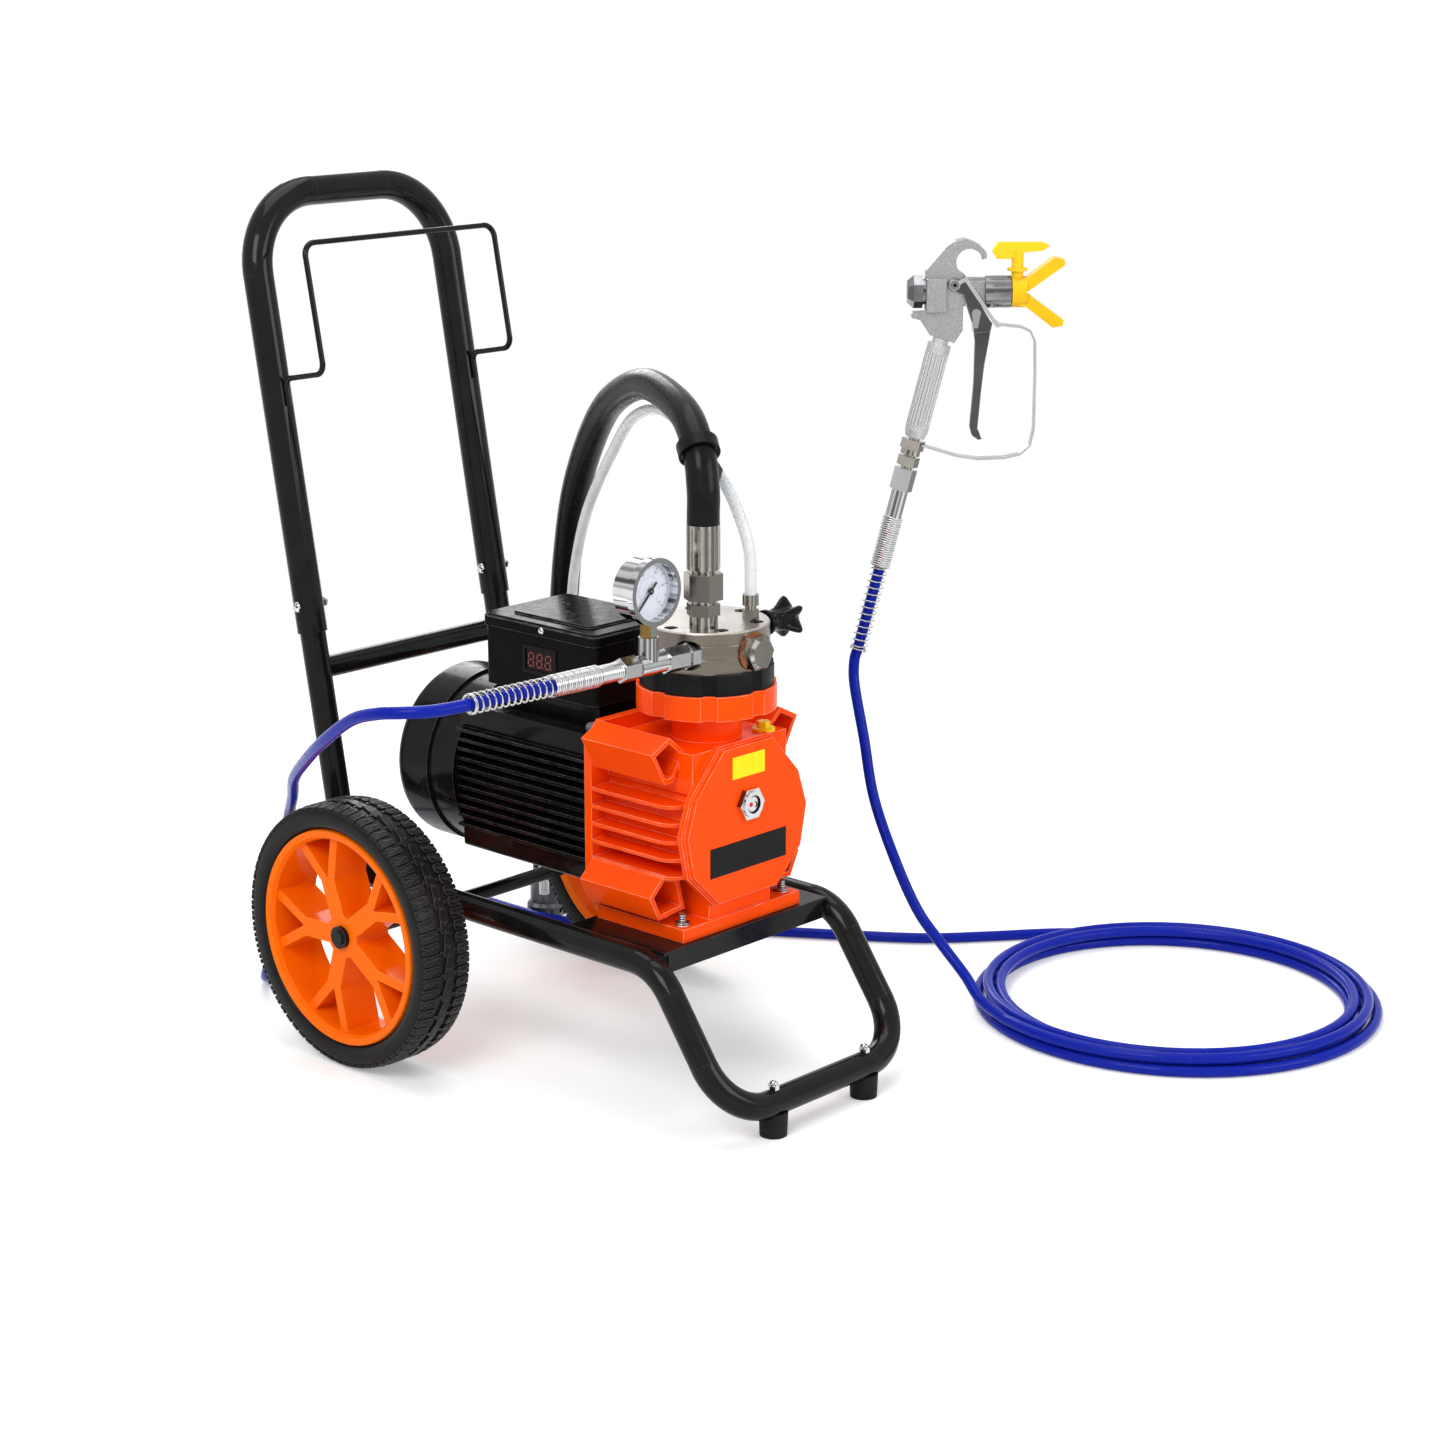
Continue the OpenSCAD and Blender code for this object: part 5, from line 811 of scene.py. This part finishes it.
def prisms(name, outlines, depth, place, body, paint, **kw):
    """Several flat outlines thickened into one piece."""
    verts, faces = [], []
    for outline in outlines:
        base, n = len(verts), len(outline)
        verts += [place @ (Vector((x, y, z)) * MM) for z in (0, depth) for x, y in outline]
        faces += [[base + i for i in range(n)][::-1], [base + n + i for i in range(n)]]
        faces += [[base + i, base + (i + 1) % n, base + n + (i + 1) % n, base + n + i] for i in range(n)]
    return solid(name, verts, faces, body, paint, **kw)


def segments(x, y, w, h, t):
    """The seven bars of one digit, leaning a little, and its point."""
    def across(y0):
        return [(x - w / 2 + t / 2, y0), (x - w / 2 + t, y0 + t / 2), (x + w / 2 - t, y0 + t / 2),
                (x + w / 2 - t / 2, y0), (x + w / 2 - t, y0 - t / 2), (x - w / 2 + t, y0 - t / 2)]

    def upright(x0, y0, y1):
        return [(x0, y0 + t / 2), (x0 + t / 2, y0 + t), (x0 + t / 2, y1 - t), (x0, y1 - t / 2), (x0 - t / 2, y1 - t),
                (x0 - t / 2, y0 + t)]
    bars = [across(y - h / 2), across(y), across(y + h / 2)]
    for x0 in (x - w / 2 + 0.1, x + w / 2 - 0.1):
        bars += [upright(x0, y - h / 2, y), upright(x0, y, y + h / 2)]
    bars.append([(x + w / 2 + 1.6 + 0.8 * math.cos(i * math.pi / 4), y - h / 2 + 0.8 * math.sin(i * math.pi / 4))
                 for i in range(8)])
    return [[(px + (py - y) * 0.1, py) for px, py in bar] for bar in bars]


facing_left = Matrix.Translation(mm(-61.0, -124, 430)) @ Matrix(
    ((0, 0, -1, 0), (-1, 0, 0, 0), (0, 1, 0, 0), (0, 0, 0, 1)))
digits = []
for k in (-1, 0, 1):
    digits += segments(k * 12.5 - 0.8, 0, 7.6, 14, 1.5)
prisms("display_digits", digits, 0.15, facing_left, "cart", display_lit, material_slot="display")

GAUGE = (-109.854, 544.0)
DIAL_FACE = -329.80
DIAL_START, DIAL_SWEEP = 225, 270
dial_place = facing_front(GAUGE[0], DIAL_FACE, GAUGE[1])


def dial_angle(share):
    return math.radians(DIAL_START - DIAL_SWEEP * share)


def tick(a, r0, r1, w):
    """A mark across the dial's scale, w wide to each side."""
    c, s = math.cos(a), math.sin(a)
    return [(r0 * c - w * s, r0 * s + w * c), (r0 * c + w * s, r0 * s - w * c),
            (r1 * c + w * s, r1 * s - w * c), (r1 * c - w * s, r1 * s + w * c)]


marks = [tick(dial_angle(i / 50), 24.0 if i % 5 else 22.0, 26.0, 0.16 if i % 5 else 0.35) for i in range(51)]
marks += [tick(dial_angle(i / 25), 13.2, 14.4 if i % 5 else 15.4, 0.18) for i in range(26)]
for i in range(72):
    a0, a1 = dial_angle(i / 72), dial_angle((i + 1) / 72)
    marks.append([(r * math.cos(a), r * math.sin(a)) for a, r in ((a0, 26.0), (a1, 26.0), (a1, 26.3), (a0, 26.3))])
prisms("dial_marks", marks, 0.05, dial_place, "cart", dial_blue, material_slot="box_black")


def words(name, text, size, place, paint, **kw):
    data = bpy.data.curves.new(name, "FONT")
    data.body = text
    data.size = size * MM
    data.extrude = 0.02 * MM
    data.align_x = "CENTER"
    data.align_y = "CENTER"
    obj = add(name, data, "cart", paint, smooth=False, **kw)
    obj.matrix_world = place


for i in range(6):
    a = dial_angle(i / 5)
    at = dial_place @ Matrix.Translation(mm(19.0 * math.cos(a), 19.0 * math.sin(a), 0.03))
    words("dial_number_%d" % i, str(10 * i), 3.6, at, dial_blue, material_slot="box_black")

repaint("gauge_case", dial_white, lambda c, n: c.y > -330.0 and n.y < -0.9
        and (Vector((c.x, c.z)) - Vector(GAUGE)).length < 29)



def arc(x, r, degrees):
    return [(x + r * math.cos(math.radians(d)), r * math.sin(math.radians(d))) for d in degrees]


prism("sight_dot", ring(20, 2.4), 0.25, facing_front(-2.6, SIGHT_FACE, SIGHT_Z), "cart", dot_red,
      material_slot="switch_red")
prism("sight_mark", arc(2.4, 3.3, range(-80, 81, 20)) + arc(1.2, 2.8, range(80, -81, -20)), 0.2,
      facing_front(1.0, SIGHT_FACE, SIGHT_Z - 0.8), "cart", plate_black, material_slot="box_black")
revolve("sight_ring", [(7.9, 0), (9.3, 0), (9.3, 0.7), (8.8, 1.0), (7.9, 0.6)],
        facing_front(0, SIGHT_FACE, SIGHT_Z), "cart", plate_black, steps=32, material_slot="box_black")

# Grey stop beside the box
revolve("grey_stop", [(0, 0), (6.2, 0), (7.4, 1.2), (7.6, 4.5), (6.4, 7.2), (4.0, 8.6), (0, 9.0)],
        Matrix.Translation(mm(-60, -200, 369)), "cart", grey_nub, steps=28, material_slot="steel")

# ---------------------------------------------------------------- floor, light
floor_data = bpy.data.meshes.new("floor")
floor_data.from_pydata([(-14, -14, 0), (14, -14, 0), (14, 14, 0), (-14, 14, 0)], [], [(0, 1, 2, 3)])
floor = bpy.data.objects.new("floor", floor_data)
scene.collection.objects.link(floor)
floor.location.z = -0.0004
floor_paint = bpy.data.materials.new("floor_white")
floor_paint.use_nodes = True
FADE_FROM, FADE_TO = 1.1, 1.9


def node(tree, kind, links=(), operation=None, **values):
    """A node with its inputs linked in order from the given sockets, and named inputs set to values."""
    n = tree.nodes.new(kind)
    if operation:
        n.operation = operation
    for socket, source in zip(n.inputs, links):
        if source is not None:
            tree.links.new(source, socket)
    for k, v in values.items():
        n.inputs[k.replace("_", " ")].default_value = v
    return n


def seen_rays(tree):
    """1 for rays from the eye, mirrored or passed through glass, 0 for the rays that light the object."""
    ray = node(tree, "ShaderNodeLightPath").outputs
    either = node(tree, "ShaderNodeMath", (ray["Is Camera Ray"], ray["Is Glossy Ray"]), "MAXIMUM")
    return node(tree, "ShaderNodeMath", (either.outputs[0], ray["Is Transmission Ray"]), "MAXIMUM").outputs[0]


tree = floor_paint.node_tree
tree.nodes.clear()
WHITE = (1, 1, 1, 1)
shown = seen_rays(tree)
diffuse = node(tree, "ShaderNodeBsdfDiffuse", Color=(0.86, 0.86, 0.86, 1))
amount = node(tree, "ShaderNodeMath", (shown,), "MULTIPLY")
amount.inputs[1].default_value = 0.26
glow = node(tree, "ShaderNodeEmission", (None, amount.outputs[0]), Color=WHITE)
both = node(tree, "ShaderNodeAddShader", (diffuse.outputs[0], glow.outputs[0]))
# Away from the object the floor fades into the white backdrop
backdrop = node(tree, "ShaderNodeEmission", Color=WHITE, Strength=1.0)
place_of = node(tree, "ShaderNodeTexCoord")
reach = node(tree, "ShaderNodeVectorMath", (place_of.outputs["Object"],), "LENGTH")
fade = node(tree, "ShaderNodeMapRange", (reach.outputs["Value"],), From_Min=FADE_FROM, From_Max=FADE_TO)
share = node(tree, "ShaderNodeMath", (fade.outputs[0], shown), "MULTIPLY")
surface = node(tree, "ShaderNodeMixShader", (share.outputs[0], both.outputs[0], backdrop.outputs[0]))
node(tree, "ShaderNodeOutputMaterial", (surface.outputs[0],))
floor_data.materials.append(floor_paint)

world = bpy.data.worlds.new("studio")
scene.world = world
world.use_nodes = True
tree = world.node_tree
tree.nodes.clear()
dim = node(tree, "ShaderNodeBackground", Color=WHITE, Strength=0.55)
white = node(tree, "ShaderNodeBackground", Color=WHITE, Strength=1.0)
sky = node(tree, "ShaderNodeMixShader", (seen_rays(tree), dim.outputs[0], white.outputs[0]))
node(tree, "ShaderNodeOutputWorld", (sky.outputs[0],))


def soft_light(name, at, aim, size, power):
    data = bpy.data.lights.new(name, "AREA")
    data.shape = "RECTANGLE"
    data.size, data.size_y = size
    data.energy = power
    lamp = bpy.data.objects.new(name, data)
    scene.collection.objects.link(lamp)
    lamp.location = at
    lamp.rotation_euler = (Vector(aim) - Vector(at)).to_track_quat("-Z", "Y").to_euler()


soft_light("key", (-2.6, -1.2, 2.6), (0, -0.1, 0.4), (1.6, 1.6), 62)
soft_light("fill", (0.9, -3.2, 1.6), (0, -0.1, 0.4), (1.8, 1.2), 34)
soft_light("top", (0.2, 0.2, 3.2), (0.1, -0.1, 0.3), (2.2, 2.2), 42)
soft_light("rim", (1.8, 2.4, 1.9), (0.1, 0, 0.4), (1.2, 1.6), 30)

scene.view_settings.view_transform = "Standard"
